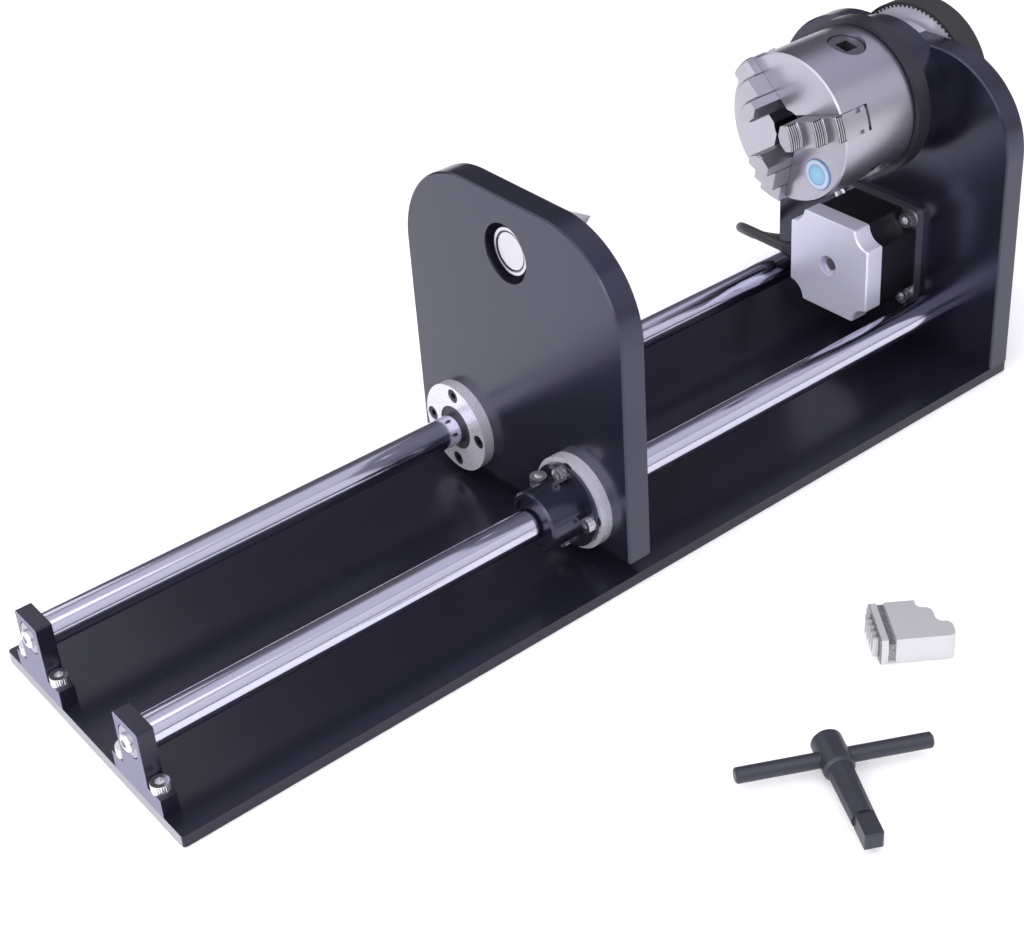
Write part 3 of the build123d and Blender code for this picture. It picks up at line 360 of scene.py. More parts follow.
# %% Group: straight grain
grain, start, end = new_group(
    "drawn_grain",
    [("Stretch", (4.0, 900.0, 900.0)), ("Depth", 0.1)],
    [("Normal", "NodeSocketVector")],
)
streaks = add(grain, "ShaderNodeTexNoise", in_Scale=1.0, in_Detail=3.0)
stretched = vector_node(grain, "MULTIPLY", object_place(grain), start.outputs["Stretch"])
grain.links.new(stretched, streaks.inputs["Vector"])
relief_of(grain, start, end, streaks)
print("group:", grain.name)


# %% Helpers that place the groups
def place_group(tree, group, values):
    """A node of a shared group, with its inputs set by name."""
    node = tree.nodes.new("ShaderNodeGroup")
    node.node_tree = group
    for label, value in values.items():
        node.inputs[label].default_value = value
    return node


def finish_metal(name, color, roughness, metallic, cloud, change, tool, asked):
    """A metal finish: cloudy gloss, and the lines of one tool."""
    tree, shader = new_material(name, color, roughness, metallic)
    gloss = place_group(tree, handling, {"Scale": cloud, "Gloss change": change, "Roughness": roughness})
    tree.links.new(gloss.outputs["Roughness"], shader.inputs["Roughness"])
    lines = place_group(tree, tool, asked)
    tree.links.new(lines.outputs["Normal"], shader.inputs["Normal"])
    return tree, shader


def drawn(stretch, depth):
    """What the drawn grain is asked for."""
    return {"Stretch": stretch, "Depth": depth}


def round_spindle(lines_per_metre):
    """What the turned lines are asked for, round the spindle's line."""
    return {"Centre": spindle_line, "Lines per metre": lines_per_metre, "Depth": 0.12}


def box_middle(name):
    """The middle of a solid's box."""
    low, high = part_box(name)
    return (Vector(low) + Vector(high)) / 2


spindle_z = round(box_middle("big_pulley").z, 6)
spindle_line = (0.0, 0.0, spindle_z)
ground_lines = round_spindle(2600.0)
print("spindle line at z", spindle_z * 1000, "mm")

# %% [markdown]
# ## Metals
#
# The chuck is ground steel, so its lines run round the spindle; the rods are drawn and polished, so theirs
# run along. Cast, milled and blackened pieces differ only in colour, gloss and the grain of their tool. So
# one table holds all plain metals, and one loop makes them. Written out one by one they would be long and
# hard to compare.

# %% Plain metals
chuck_color, jaw_color = (0.47, 0.455, 0.515), (0.46, 0.45, 0.495)
jaw_grain = drawn((900.0, 60.0, 60.0), 0.14)
plain_metals = {
    # name: colour, roughness, metallic, scale of the clouds, change of gloss, tool and what it is asked for
    "ground_steel": (chuck_color, 0.30, 1.0, 22.0, 0.10, turned, ground_lines),
    "jaw_steel": (jaw_color, 0.33, 0.92, 60.0, 0.16, grain, jaw_grain),
    "ring_steel": ((0.62, 0.61, 0.67), 0.24, 1.0, 50.0, 0.12, grain, drawn((1500.0, 240.0, 240.0), 0.08)),
    "bright_screw": ((0.72, 0.71, 0.73), 0.25, 1.0, 140.0, 0.16, grain, drawn((400.0, 400.0, 1600.0), 0.06)),
    "cast_metal": ((0.84, 0.83, 0.98), 0.36, 0.38, 40.0, 0.12, grain, drawn((1500.0, 900.0, 900.0), 0.14)),
    "flange_steel": ((0.76, 0.75, 0.83), 0.28, 0.52, 80.0, 0.12, grain, drawn((1500.0, 700.0, 700.0), 0.03)),
    # Painted shade: the motor's front flange is dark silver, and part of its darkness is painted shade.
    "shaded_flange_metal": ((0.30, 0.295, 0.345), 0.34, 0.85, 80.0, 0.16, grain, drawn((900.0, 900.0, 900.0), 0.16)),
    "milled_wheel": ((0.66, 0.65, 0.74), 0.36, 0.45, 60.0, 0.14, turned, round_spindle(1800.0)),
    "black_oxide": ((0.030, 0.028, 0.038), 0.38, 0.7, 70.0, 0.20, grain, drawn((700.0, 700.0, 700.0), 0.08)),
    "key_steel": ((0.050, 0.052, 0.066), 0.42, 0.55, 90.0, 0.22, grain, drawn((420.0, 420.0, 420.0), 0.12)),
    "socket_steel": ((0.16, 0.155, 0.185), 0.38, 0.9, 120.0, 0.2, grain, drawn((500.0, 500.0, 500.0), 0.10)),
    "centre_steel": ((0.66, 0.65, 0.71), 0.26, 0.6, 80.0, 0.10, turned, ground_lines),
    "back_plate_steel": ((0.042, 0.040, 0.052), 0.34, 0.6, 30.0, 0.14, turned, ground_lines),
    "laminations": ((0.014, 0.013, 0.018), 0.36, 0.4, 30.0, 0.14, grain, drawn((2600.0, 8.0, 8.0), 0.22)),
    "shaft_end": ((0.70, 0.69, 0.72), 0.2, 1.0, 60.0, 0.1, grain, drawn((1500.0, 300.0, 300.0), 0.06)),
}
for name, values in plain_metals.items():
    finish_metal(name, *values)
print("plain metals:", len(plain_metals))


# %% [markdown]
# ## Metals with a mask
#
# Some pieces are bright in one place and painted dark as shade in another. The chuck's mouth is painted dark,
# as the shade inside its bore, and the jaws' gripping faces are painted dark, as the shade between their
# ridges.
# A painted texture could show it, but a mask that is worked out from Object coordinates needs no unwrapping
# and has a clean border. On round pieces the mask is a distance from the spindle's line.

# %% Helpers for masks
def radius_from(tree, middle):
    """The distance of each shaded point from a line along X through the middle."""
    return distance_from_x(tree, vector_node(tree, "SUBTRACT", object_place(tree), middle))


def place_along_x(tree):
    """The X of each shaded point."""
    return parts_of(tree, object_place(tree))["X"]


def any_band(tree, measure, bands):
    """1 where a measure lies within one of the bands: (middle, half width) each."""
    inside = 0.0
    for middle, half in bands:
        away = math_node(tree, "ABSOLUTE", math_node(tree, "SUBTRACT", measure, middle))
        inside = math_node(tree, "MAXIMUM", math_node(tree, "LESS_THAN", away, half), inside)
    return inside


def paint_mask(tree, shader, mask, plain, masked):
    """One colour outside a mask and another inside it."""
    tree.links.new(mix_colors(tree, mask, plain, masked), shader.inputs["Base Color"])


# %% Chuck steel with painted shade in its mouth
mouth_r, mouth_soft = 0.0102, 0.0002
tree, shader = finish_metal("chuck_steel", chuck_color, 0.29, 1.0, 22.0, 0.10, turned, ground_lines)
depth_in = math_node(tree, "SUBTRACT", mouth_r, radius_from(tree, spindle_line))
mouth = math_node(tree, "DIVIDE", depth_in, mouth_soft, clamp=True)
# Painted shade: inside mouth_r the chuck is painted dark, as the shade in its bore.
paint_mask(tree, shader, mouth, chuck_color, (0.075, 0.072, 0.088))
print("mouth radius", round(mouth_r * 1000, 1), "mm")

# %% Jaw steel with painted shade on its gripping faces
riser_radii, riser_half = (0.0205, 0.0315, 0.0410), 0.0003
chuck_face_x = 0.1710
tree, shader = finish_metal("gripping_jaw", jaw_color, 0.33, 0.92, 60.0, 0.16, grain, jaw_grain)
risers = any_band(tree, radius_from(tree, spindle_line), [(r, riser_half) for r in riser_radii])
in_the_open = math_node(tree, "LESS_THAN", place_along_x(tree), chuck_face_x)
ridge_shade = math_node(tree, "MULTIPLY", risers, in_the_open)
# Painted shade: the risers in front of the chuck face are painted dark, as the shade between their ridges.
paint_mask(tree, shader, ridge_shade, jaw_color, (0.05, 0.048, 0.058))
print("gripping faces:", len(riser_radii), "to a jaw")

# %% [markdown]
# The spare jaw lies on the paper with its teeth in view. Its guide groove and the gap next to it are painted
# dark as shade, so its mask measures along the jaw instead of round the spindle. Noise breaks the bands of
# painted shade up, so that they don't end in a ruled line.

# %% Spare jaw steel
spare_middle, along_spare = (0.051, -0.195, 0.0), (-0.8131, 0.5822, 0.0)
guide_groove, first_gap = (0.01185, 0.0017), (0.0170, 0.0004)
spare_color = (0.62, 0.62, 0.63)
tree, shader = finish_metal(
    "spare_steel", spare_color, 0.36, 0.55, 80.0, 0.16, grain, drawn((120.0, 120.0, 900.0), 0.12)
)
from_middle = vector_node(tree, "SUBTRACT", object_place(tree), spare_middle)
shadowed = any_band(tree, vector_node(tree, "DOT_PRODUCT", from_middle, along_spare), [guide_groove, first_gap])
speckle = add(tree, "ShaderNodeTexNoise", in_Scale=900.0, in_Detail=3.0)
tree.links.new(object_place(tree), speckle.inputs["Vector"])
speckled = math_node(tree, "MULTIPLY_ADD", speckle.outputs["Fac"], 0.8, 0.30, clamp=True)
# Painted shade: the groove and the gap are painted dark, broken up by the speckle.
paint_mask(tree, shader, math_node(tree, "MULTIPLY", shadowed, speckled), spare_color, (0.06, 0.06, 0.065))
print("oily bands:", [round(2000 * half, 2) for middle, half in (guide_groove, first_gap)], "mm wide")


# %% [markdown]
# ## Black plates with bare ends
#
# The plates are black anodised aluminium: dark, a little violet, under a clear gloss. The colour of such a
# skin comes from its reflection more than from its base, so the tint sits on the specular input. The ends
# that were sawn or milled after anodising are bare, and the rods' ends are sawn too. Both are the same solid
# as the finished face, so a mask on X tells them apart.

# %% Anodised plate
def anodised(name, roughness, ior, tint, bare_color=None):
    """Black anodising under a clear gloss, and bare metal at the machine's free end where asked."""
    skin_color, bare_metallic, bare_roughness = (0.010, 0.0095, 0.018), 0.4, 0.5
    tree, shader = new_material(name, skin_color, roughness, 0.0)
    shader.inputs["IOR"].default_value = ior
    shader.inputs["Specular Tint"].default_value = (*tint, 1)
    gloss = place_group(tree, handling, {"Scale": 9.0, "Gloss change": 0.12, "Roughness": roughness})
    skin = place_group(tree, grain, drawn((260.0, 260.0, 260.0), 0.03))
    tree.links.new(skin.outputs["Normal"], shader.inputs["Normal"])
    if bare_color is None:
        tree.links.new(gloss.outputs["Roughness"], shader.inputs["Roughness"])
        return
    bare = math_node(tree, "LESS_THAN", place_along_x(tree), free_end)
    paint_mask(tree, shader, bare, skin_color, bare_color)
    tree.links.new(math_node(tree, "MULTIPLY", bare, bare_metallic), shader.inputs["Metallic"])
    rough = add(tree, "ShaderNodeMix", data_type="FLOAT")
    tree.links.new(bare, rough.inputs["Factor"])
    tree.links.new(gloss.outputs["Roughness"], rough.inputs["A"])
    rough.inputs["B"].default_value = bare_roughness
    tree.links.new(rough.outputs["Result"], shader.inputs["Roughness"])


free_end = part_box("base_plate")[0][0] + 0.0002
anodised("black_plate", 0.22, 1.68, (0.72, 0.72, 1.0))
anodised("black_base", 0.24, 1.45, (0.84, 0.84, 1.0), (0.40, 0.40, 0.41))
anodised("black_support", 0.26, 1.5, (0.84, 0.84, 1.0), (0.22, 0.215, 0.29))
print("bare below x", round(free_end * 1000, 2), "mm")

# %% Polished rod with a sawn end
rod_color, sawn_color = (0.59, 0.58, 0.69), (0.27, 0.265, 0.33)
tree, shader = finish_metal(
    "rod_with_sawn_end", rod_color, 0.13, 1.0, 12.0, 0.06, grain, drawn((6.0, 1400.0, 1400.0), 0.05)
)
sawn = math_node(tree, "LESS_THAN", place_along_x(tree), free_end)
paint_mask(tree, shader, sawn, rod_color, sawn_color)
dulled = math_node(tree, "SUBTRACT", 1.0, math_node(tree, "MULTIPLY", sawn, 0.5))
tree.links.new(dulled, shader.inputs["Metallic"])
print("finishes so far:", len(finishes))

# %% [markdown]
# ## Rubber, plastic and the badge
#
# Rubber and plastic are the quiet surfaces that make metal look like metal. They aren't flat colours
# either: rubber has a fine tooth, and moulded plastic a slight orange peel. The badge on the chuck's face
# is a printed disc with a pale rim, kept plain.

# %% Rubber and plastics
soft_finishes = {
    # name: colour, roughness, scale of the fine tooth, its depth
    "belt_rubber": ((0.022, 0.021, 0.024), 0.62, 2200.0, 0.25),
    "cable_skin": ((0.036, 0.034, 0.038), 0.46, 1500.0, 0.10),
    "seal_plastic": ((0.030, 0.030, 0.033), 0.5, 1200.0, 0.12),
    "plug_plastic": ((0.78, 0.77, 0.73), 0.42, 900.0, 0.10),
    "relief_rubber": ((0.035, 0.034, 0.038), 0.55, 1600.0, 0.2),
}
for name, (color, roughness, scale, depth) in soft_finishes.items():
    tree, shader = new_material(name, color, roughness)
    gloss = place_group(tree, handling, {"Scale": 40.0, "Gloss change": 0.2, "Roughness": roughness})
    tree.links.new(gloss.outputs["Roughness"], shader.inputs["Roughness"])
    skin = place_group(tree, grain, drawn((scale, scale, scale), depth))
    tree.links.new(skin.outputs["Normal"], shader.inputs["Normal"])
print("soft finishes:", len(soft_finishes))

# %% Badge: blue middle, pale rim
badge_low, badge_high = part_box("face_badge")
badge_radius = (badge_high[1] - badge_low[1]) / 2
tree, shader = new_material("badge_print", (0.30, 0.56, 0.78), 0.22)
share = math_node(tree, "DIVIDE", radius_from(tree, box_middle("face_badge")), badge_radius)
print_rings = color_ramp(tree, share, [
    (0.0, (0.36, 0.66, 0.84)), (0.60, (0.24, 0.54, 0.78)), (0.65, (0.12, 0.30, 0.56)),
    (0.69, (0.62, 0.68, 0.84)), (0.90, (0.60, 0.66, 0.84)), (0.95, (0.16, 0.30, 0.56)),
])
tree.links.new(print_rings, shader.inputs["Base Color"])
gloss = place_group(tree, handling, {"Scale": 200.0, "Gloss change": 0.1, "Roughness": 0.22})
tree.links.new(gloss.outputs["Roughness"], shader.inputs["Roughness"])
print("badge radius", round(badge_radius * 1000, 2), "mm")

# %% [markdown]
# ## Dressing the solids
#
# Each measured solid gets the finish of the real piece. A dictionary from finish to pieces is easier to
# read and to change than a long run of assignments, and a check at the end shows any piece left bare.

# %% Finishes to pieces
dressed = {
    "black_base": ["base_plate"],
    "black_support": ["shaft_support_near", "shaft_support_far"],
    "black_plate": ["headstock_plate", "tailstock_plate", "bearing_housing", "lock_collar"],
    "rod_with_sawn_end": ["rail_near", "rail_far"],
    "chuck_steel": ["chuck_body"],
    "ground_steel": ["chuck_cover", "spindle"],
    "centre_steel": ["live_centre"],
    "gripping_jaw": ["jaw_1", "jaw_2", "jaw_3"],
    "spare_steel": ["spare_jaw"],
    "ring_steel": ["spindle_bearing_outer", "spindle_bearing_inner", "spindle_spacer", "scroll_plate",
                   "motor_bearings", "centre_sleeve", "centre_end_cap", "centre_bearing_outer",
                   "centre_bearing_inner"],
    "flange_steel": ["linear_bearing_near", "linear_bearing_far"],
    "shaded_flange_metal": ["motor_front_flange"],
    "socket_steel": ["pinion_1", "pinion_2", "pinion_3"],
    "bright_screw": ["support_screws", "motor_screws", "collar_screws", "collar_clamp_screw"],
    "cast_metal": ["motor_rear_bell"],
    "milled_wheel": ["big_pulley", "motor_pulley"],
    "back_plate_steel": ["chuck_back_plate"],
    "black_oxide": ["chuck_screws", "spindle_screws", "headstock_foot_screws", "rail_screws",
                    "housing_screws", "spindle_lock_nut", "pulley_grub_screw", "far_bearing_screws",
                    "sleeve_screws"],
    "key_steel": ["key_shank", "key_bar"],
    "laminations": ["motor_stator"],
    "shaft_end": ["motor_shaft"],
    "belt_rubber": ["drive_belt"],
    "cable_skin": ["motor_cable", "cable_coil"],
    "relief_rubber": ["cable_gland"],
    "seal_plastic": ["bearing_liners"],
    "plug_plastic": ["cable_plug"],
    "badge_print": ["face_badge"],
}
for finish, names in dressed.items():
    for name in names:
        mesh = nodes[name].data
        mesh.materials.clear()
        mesh.materials.append(finishes[finish])
print("bare pieces:", sorted(set(nodes) - {n for names in dressed.values() for n in names}))

# %% [markdown]
# ## Details that repeat
#
# Small ridges stand in rows all over this machine: gripping ridges on the jaws, teeth inside the belt, ribs
# on the cable's strain relief and the knurl of each screw head. Modelling each by hand would be slow and
# uneven. Two Geometry Nodes trees make them from a few numbers. The first sweeps a small four-sided profile
# along an arc and stacks copies of it. The second stands one bar on each point of a mesh, turned as the
# point says. Both end in Realize Instances and Set Material, and the result is kept as a plain mesh.

# %% Helpers for Geometry Nodes
def new_tree(name, inputs):
    """A Geometry Nodes tree with named inputs: (name, kind, default)."""
    tree = bpy.data.node_groups.new(name, "GeometryNodeTree")
    tree.interface.new_socket("Geometry", in_out="INPUT", socket_type="NodeSocketGeometry")
    for label, kind, default in inputs:
        socket = tree.interface.new_socket(label, in_out="INPUT", socket_type="NodeSocket" + kind)
        if default is not None:
            socket.default_value = default
    tree.interface.new_socket("Geometry", in_out="OUTPUT", socket_type="NodeSocketGeometry")
    return tree, tree.nodes.new("NodeGroupInput"), tree.nodes.new("NodeGroupOutput")


def copies_on_points(tree, start, end, points, copied, rotation=None):
    """The end of both trees: copies on points, made real, with the material that is asked for."""
    copies = tree.nodes.new("GeometryNodeInstanceOnPoints")
    real = tree.nodes.new("GeometryNodeRealizeInstances")
    paint = tree.nodes.new("GeometryNodeSetMaterial")
    join_nodes(
        tree,
        (points, copies.inputs["Points"]),
        (copied, copies.inputs["Instance"]),
        (copies.outputs["Instances"], real.inputs["Geometry"]),
        (real.outputs["Geometry"], paint.inputs["Geometry"]),
        (start.outputs["Material"], paint.inputs["Material"]),
        (paint.outputs["Geometry"], end.inputs["Geometry"]),
    )
    if rotation is not None:
        tree.links.new(rotation, copies.inputs["Rotation"])


def grow(tree, values, source=None):
    """The plain mesh that a tree makes of a source mesh, with its inputs set by their identifiers."""
    seed = bpy.data.objects.new("seed", source or bpy.data.meshes.new("nothing"))
    scene.collection.objects.link(seed)
    modifier = seed.modifiers.new(tree.name, "NODES")
    modifier.node_group = tree
    for item in tree.interface.items_tree:
        if item.item_type == "SOCKET" and item.in_out == "INPUT" and item.name in values:
            modifier[item.identifier] = values[item.name]
    result = bpy.data.meshes.new_from_object(seed.evaluated_get(bpy.context.evaluated_depsgraph_get()))
    seed.modifiers.remove(modifier)
    bpy.data.objects.remove(seed)
    return result


def one_piece(name, parts, finish, body):
    """One object made of several meshes, which rides on a body."""
    joined = bmesh.new()
    for part in parts:
        joined.from_mesh(part)
    mesh = bpy.data.meshes.new(name)
    bmesh.ops.recalc_face_normals(joined, faces=joined.faces)
    joined.to_mesh(mesh)
    joined.free()
    mesh.materials.clear()
    mesh.materials.append(finish)
    for face in mesh.polygons:
        face.material_index = 0
    piece = bpy.data.objects.new(name, mesh)
    scene.collection.objects.link(piece)
    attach(piece, body)
    print(name, "parts:", len(parts), "faces:", len(mesh.polygons))
    return piece


# %% Tree: a stack of arc ridges
arc_ridges, start, end = new_tree("arc_ridges", [
    ("Radius", "Float", 0.02), ("Half angle", "Float", 0.3), ("Steps", "Int", 12), ("Ridges", "Int", 4),
    ("Spacing", "Float", 0.0013), ("Ridge size", "Float", 0.0004), ("Material", "Material", None),
])
bend = arc_ridges.nodes.new("GeometryNodeCurveArc")
outline = add(arc_ridges, "GeometryNodeCurvePrimitiveCircle", in_Resolution=4)
skin = add(arc_ridges, "GeometryNodeCurveToMesh", in_Fill_Caps=True)
step_up = arc_ridges.nodes.new("ShaderNodeCombineXYZ")
places = arc_ridges.nodes.new("GeometryNodeMeshLine")
half_angle = start.outputs["Half angle"]
join_nodes(
    arc_ridges,
    (start.outputs["Radius"], bend.inputs["Radius"]),
    (start.outputs["Steps"], bend.inputs["Resolution"]),
    (math_node(arc_ridges, "MULTIPLY", half_angle, -1.0), bend.inputs["Start Angle"]),
    (math_node(arc_ridges, "MULTIPLY", half_angle, 2.0), bend.inputs["Sweep Angle"]),
    (start.outputs["Ridge size"], outline.inputs["Radius"]),
    (bend.outputs["Curve"], skin.inputs["Curve"]),
    (outline.outputs["Curve"], skin.inputs["Profile Curve"]),
    (start.outputs["Spacing"], step_up.inputs["Z"]),
    (start.outputs["Ridges"], places.inputs["Count"]),
    (step_up.outputs[0], places.inputs["Offset"]),
)
copies_on_points(arc_ridges, start, end, places.outputs["Mesh"], skin.outputs["Mesh"])
print("tree:", arc_ridges.name, "with", len(arc_ridges.nodes), "nodes")

# %% Tree: a bar on each point
point_bars, start, end = new_tree("point_bars", [
    ("Sides", "Int", 3), ("Length", "Float", 0.005), ("Width", "Float", 0.0006), ("Height", "Float", 0.0003),
    ("Material", "Material", None),
])
bar = add(point_bars, "GeometryNodeMeshCylinder", in_Radius=1.0, in_Depth=1.0)
sizes = point_bars.nodes.new("ShaderNodeCombineXYZ")
lay = add(point_bars, "GeometryNodeTransform", in_Rotation=(0, -pi / 2, 0))
turn_read = add(point_bars, "GeometryNodeInputNamedAttribute", data_type="FLOAT_VECTOR", in_Name="turn")
turn_make = point_bars.nodes.new("FunctionNodeEulerToRotation")
join_nodes(
    point_bars,
    (start.outputs["Sides"], bar.inputs["Vertices"]),
    (start.outputs["Height"], sizes.inputs["X"]),
    (start.outputs["Width"], sizes.inputs["Y"]),
    (start.outputs["Length"], sizes.inputs["Z"]),
    (bar.outputs["Mesh"], lay.inputs["Geometry"]),
    (sizes.outputs[0], lay.inputs["Scale"]),
    (turn_read.outputs["Attribute"], turn_make.inputs["Euler"]),
)
copies_on_points(
    point_bars, start, end, start.outputs["Geometry"], lay.outputs["Geometry"], turn_make.outputs["Rotation"]
)
print("tree:", point_bars.name, "with", len(point_bars.nodes), "nodes")


# %% Points that know which way a bar on them turns
def turned_points(places):
    """A mesh of points: each place comes with the bar's own direction and the way its edge points."""
    mesh = bpy.data.meshes.new("places")
    mesh.from_pydata([place for place, along, outward in places], [], [])
    turns = mesh.attributes.new("turn", "FLOAT_VECTOR", "POINT")
    for item, (place, along, outward) in zip(turns.data, places):
        along, outward = Vector(along).normalized(), Vector(outward).normalized()
        frame_of_bar = Matrix((along, outward.cross(along), outward)).transposed()
        item.vector = frame_of_bar.to_euler("XYZ")
    return mesh


def round_axis(middle, along, radius, count):
    """Places evenly round an axis, each with its edge pointing out."""
    along = Vector(along).normalized()
    first = along.orthogonal().normalized()
    second = along.cross(first)
    places = []
    for n in range(count):
        outward = cos(2 * pi * n / count) * first + sin(2 * pi * n / count) * second
        places.append((Vector(middle) + radius * outward, along, outward))
    return places


# %% [markdown]
# ### Gripping ridges on the jaws
#
# A stepped jaw holds a tube from the inside with the round risers between its steps, and those carry fine
# ridges. The risers are parts of cylinders round the spindle, so each stack of ridges is an arc round the
# spindle's line, turned to its jaw. The ridges ride with their jaw.

# %% Jaw ridges
jaw_half_width, sunk = 0.0062, 0.00008
jaw_angles = (162, 42, -78)
risers = list(zip(riser_radii, (0.1544, 0.1610, 0.1676), (4, 4, 3)))
for number, angle in enumerate(jaw_angles, start=1):
    stacks = []
    c, s = cos(radians(angle)), sin(radians(angle))
    for radius, first_x, ridges in risers:
        stack = grow(arc_ridges, {
            "Radius": radius - sunk, "Half angle": asin(jaw_half_width / radius), "Steps": 12,
            "Ridges": ridges, "Spacing": 0.00145, "Ridge size": 0.00052, "Material": finishes["jaw_steel"],
        })
        stack.transform(Matrix(((0, 0, 1, first_x), (c, -s, 0, 0), (s, c, 0, spindle_z), (0, 0, 0, 1))))
        stacks.append(stack)
    piece = one_piece(f"jaw_ridges_{number}", stacks, finishes["jaw_steel"], f"jaw_body_{number}")

# %% [markdown]
# ### Teeth of the belt
#
# A timing belt has one tooth to each gap of its wheels. Both wheels have a gap every 3 mm along their
# edge, 80 on the large wheel and 20 on the small, so the places on the two arcs follow the gaps and those
# on the straight runs are spread evenly between them.

# %% Belt teeth
tooth_pitch, tooth_rise = 0.003, 0.0003
motor_z, big_teeth, small_teeth = round(box_middle("motor_rear_bell").z, 6), 80, 20
belt_middle_x, belt_width = 0.272, 0.015
big_r, small_r = (tooth_pitch * teeth / (2 * pi) for teeth in (big_teeth, small_teeth))
lean = asin((small_r - big_r) / (spindle_z - motor_z))
wheels = ((spindle_z, big_teeth, big_r, True), (motor_z, small_teeth, small_r, False))
tooth_spots = []
for height, teeth, radius, above in wheels:
    for n in range(teeth):
        angle = 2 * pi * n / teeth
        wrapped = sin(angle) > sin(lean) if above else sin(angle) < sin(lean)
        if wrapped:
            outward = Vector((0, cos(angle), sin(angle)))
            spot = Vector((belt_middle_x, 0, height)) + (radius - tooth_rise) * outward
            tooth_spots.append((spot, (1, 0, 0), -outward))
for side in (-1, 1):
    outward = Vector((0, side * cos(lean), sin(lean)))
    top = Vector((belt_middle_x, 0, spindle_z)) + big_r * outward
    foot = Vector((belt_middle_x, 0, motor_z)) + small_r * outward
    count = round((foot - top).length / tooth_pitch)
    for n in range(1, count):
        tooth_spots.append((top.lerp(foot, n / count) - tooth_rise * outward, (1, 0, 0), -outward))
belt_comb = grow(point_bars, {
    "Sides": 4, "Length": belt_width - 0.0002, "Width": 0.00078, "Height": 0.00075,
    "Material": finishes["belt_rubber"],
}, turned_points(tooth_spots))
piece = one_piece("belt_teeth", [belt_comb], finishes["belt_rubber"], "base")

# %% [markdown]
# ### Knurled screw heads
#
# A socket head screw has a fine knurl round its head, for fingers. A picture of a knurl would do from far
# away, but it goes flat at the head's edge. Real ridges catch the light there, and the tree for bars makes
# them from points round the screw's axis.

# %% Knurls
rail_y, rail_z = (round(v, 6) for v in box_middle("rail_far").yz)
four_turns = (0, pi / 2, pi, 3 * pi / 2)
support_x, support_z, support_apart = -0.2585, 0.0186, 0.0148
motor_x, motor_apart = 0.2409, 0.02357
collar_x, collar_ring_r = -0.0271, 0.019
knurl_count = 28
# For each body: middle of the head, its direction, radius and height
heads = {"base": [], "tailstock": []}
for y in (-rail_y, rail_y):
    for side in (-1, 1):
        middle = (support_x, y + side * support_apart, support_z)
        heads["base"].append((middle, (0, 0, 1), 0.00425, 0.0042))
for y in (-1, 1):
    for z in (-1, 1):
        middle = (motor_x, y * motor_apart, motor_z + z * motor_apart)
        heads["base"].append((middle, (1, 0, 0), 0.00425, 0.0042))
for a in four_turns:
    middle = (collar_x, -rail_y + collar_ring_r * cos(a), rail_z + collar_ring_r * sin(a))
    heads["tailstock"].append((middle, (1, 0, 0), 0.0035, 0.0032))
for body, places in heads.items():
    combs = []
    for middle, along, radius, length in places:
        combs.append(grow(point_bars, {
            "Sides": 3, "Length": length, "Width": 0.00040, "Height": 0.00016,
            "Material": finishes["bright_screw"],
        }, turned_points(round_axis(middle, along, radius, knurl_count))))
    piece = one_piece(f"knurls_{body}", combs, finishes["bright_screw"], body)

# %% [markdown]
# ### Screws in the ends of the rods
#
# Each rod is held to its support by a button head screw with a six-sided socket. The head is a few rings
# stacked along its axis, and the last rings change from round to hexagonal. A cut with a Boolean would give
# the same socket with messier faces.

# %% Button head screws
def rings_to_mesh(name, rings, middle):
    """A closed shape of rings round a line along X, back to front: (x, radius at a turn) each."""
    shape = bmesh.new()
    steps, grid = 24, []
    for x, radius_at in rings:
        row = []
        for n in range(steps):
            turn = 2 * pi * n / steps
            across, up = radius_at(turn) * cos(turn), radius_at(turn) * sin(turn)
            row.append(shape.verts.new((middle[0] + x, middle[1] + across, middle[2] + up)))
        grid.append(row)
    for lower, upper in zip(grid, grid[1:]):
        for n in range(steps):
            after = (n + 1) % steps
            shape.faces.new((lower[n], lower[after], upper[after], upper[n]))
    shape.faces.new(list(reversed(grid[0])))
    shape.faces.new(grid[-1])
    bmesh.ops.recalc_face_normals(shape, faces=shape.faces)
    mesh = bpy.data.meshes.new(name)
    shape.to_mesh(mesh)
    shape.free()
    return mesh


def hexagon(flat_r):
    """The radius of a six-sided socket at a turn."""
    return lambda turn: flat_r / cos((turn % (pi / 3)) - pi / 6)


def circle(radius):
    """The same radius at every turn."""
    return lambda turn: radius


button_head = [
    (0.0001, circle(0.0046)), (-0.0008, circle(0.0046)), (-0.0015, circle(0.0042)), (-0.0019, circle(0.0034)),
    (-0.0020, circle(0.0026)), (-0.0020, hexagon(0.0018)), (-0.0008, hexagon(0.0018)),
]
rod_end_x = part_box("rail_near")[0][0]
end_screws = [rings_to_mesh(f"end_screw_{y}", button_head, (rod_end_x, y, rail_z)) for y in (-rail_y, rail_y)]
piece = one_piece("rod_end_screws", end_screws, finishes["bright_screw"], "base")

# %% [markdown]
# ### Ribs of the strain relief
#
# The soft sleeve where the cable leaves the motor has ribs, so that it bends in many small steps instead of
# one. Each rib is a full ring from the same tree as the jaws' ridges, a little smaller than the one before.

# %% Ribs
relief_x, relief_z, relief_start, rib_gap = 0.210, 0.052, 0.0298, 0.0017
first_rib_r, rib_taper, rib_count = 0.0041, 0.00012, 5
ribs = []
for n in range(rib_count):
    rib = grow(arc_ridges, {
        "Radius": first_rib_r - rib_taper * n, "Half angle": pi, "Steps": 33, "Ridges": 1, "Spacing": 0.001,
        "Ridge size": 0.00045, "Material": finishes["relief_rubber"],
    })
    rib_y = relief_start + rib_gap * n
    rib.transform(Matrix(((1, 0, 0, relief_x), (0, 0, 1, rib_y), (0, -1, 0, relief_z), (0, 0, 0, 1))))
    ribs.append(rib)
piece = one_piece("relief_ribs", ribs, finishes["relief_rubber"], "base")

# %% [markdown]
# ## The motor cable
#
# A cable is one smooth line of a fixed length. We give a NURBS curve the same few points as the measured
# tube, then wind its spare length into a coil of turns that lie a diameter apart. A bevel on the curve
# gives it thickness. Geometry Nodes could do it too, but a curve object stays easy to edit by hand.

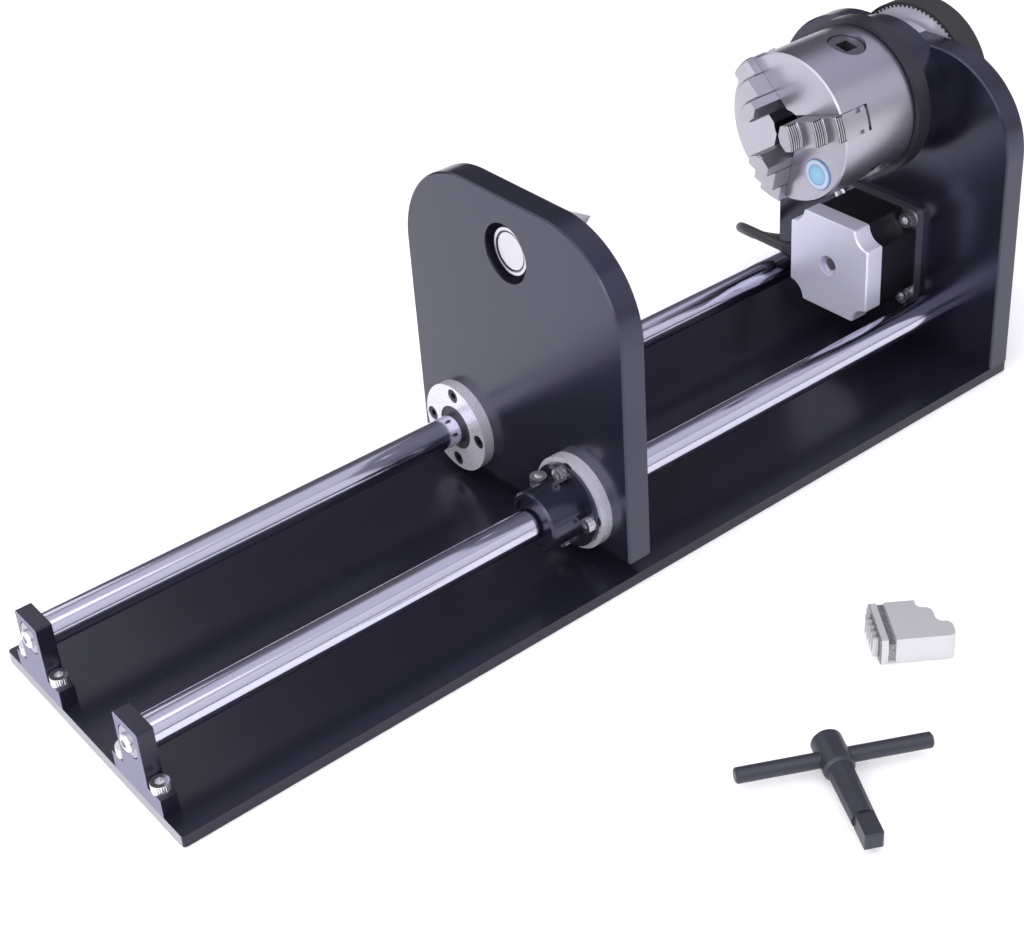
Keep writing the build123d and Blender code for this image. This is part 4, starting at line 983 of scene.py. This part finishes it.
# %% Cable
cable_d = 0.006
route = [
    (0.210, 0.0382, 0.052), (0.210, 0.058, 0.052), (0.214, 0.077, 0.049), (0.228, 0.091, 0.038),
    (0.250, 0.098, 0.021), (0.279, 0.097, 0.0075), (0.312, 0.096, 0.0031),
]
coil_x, coil_y, outer_row, inner_row = 0.314, 0.060, 0.036, 0.030
low, high = 0.0031, 0.0091
rows = [(outer_row, low), (outer_row, high), (inner_row, high), (inner_row, low)]
first_angle, last_angle, step = 93.0, -1240.0, -30.0
row_turn, row_change = 340.0, 0.12


def coil_spot(angle):
    """A place on the coil: each row of the coil takes one turn, and its last part leads to the next row."""
    progress = (first_angle - angle) / row_turn
    row = min(int(progress), len(rows) - 1)
    after = min(row + 1, len(rows) - 1)
    blend = max((progress - row - 1 + row_change) / row_change, 0.0) if after != row else 0.0
    r, z = (here * (1 - blend) + there * blend for here, there in zip(rows[row], rows[after]))
    return coil_x + r * cos(radians(angle)), coil_y + r * sin(radians(angle)), z


angle = first_angle + step
while angle > last_angle:
    route.append(coil_spot(angle))
    angle += step
tail_angle, tail_heading, tail_z = radians(200.0), radians(50.0), 0.0041
tail = Vector((coil_x + inner_row * cos(tail_angle), coil_y + inner_row * sin(tail_angle), tail_z))
heading_in = Vector((cos(tail_heading), sin(tail_heading), 0))
for forward in (0.004, 0.013):
    route.append(tuple(tail + forward * heading_in))

curve = bpy.data.curves.new("motor_lead", "CURVE")
curve.dimensions = "3D"
curve.bevel_depth, curve.bevel_resolution, curve.resolution_u = cable_d / 2, 5, 8
spline = curve.splines.new("NURBS")
spline.points.add(len(route) - 1)
for point, spot in zip(spline.points, route):
    point.co = (*spot, 1)
spline.order_u = 3
spline.use_endpoint_u = True
motor_lead = bpy.data.objects.new("motor_lead", curve)
scene.collection.objects.link(motor_lead)
curve.materials.append(finishes["cable_skin"])


def curve_length(source):
    """The length of the curve's own line, measured on a copy with no bevel."""
    bare = source.copy()
    bare.data = source.data.copy()
    bare.data.bevel_depth = 0
    scene.collection.objects.link(bare)
    line = bpy.data.meshes.new_from_object(bare.evaluated_get(bpy.context.evaluated_depsgraph_get()))
    places = [v.co.copy() for v in line.vertices]
    bpy.data.objects.remove(bare)
    return sum((b - a).length for a, b in zip(places, places[1:]))


lead_length = curve_length(motor_lead)
print("cable length", round(lead_length, 3), "m in", len(route), "points")
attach(motor_lead, "base")
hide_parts("motor_cable", "cable_coil")
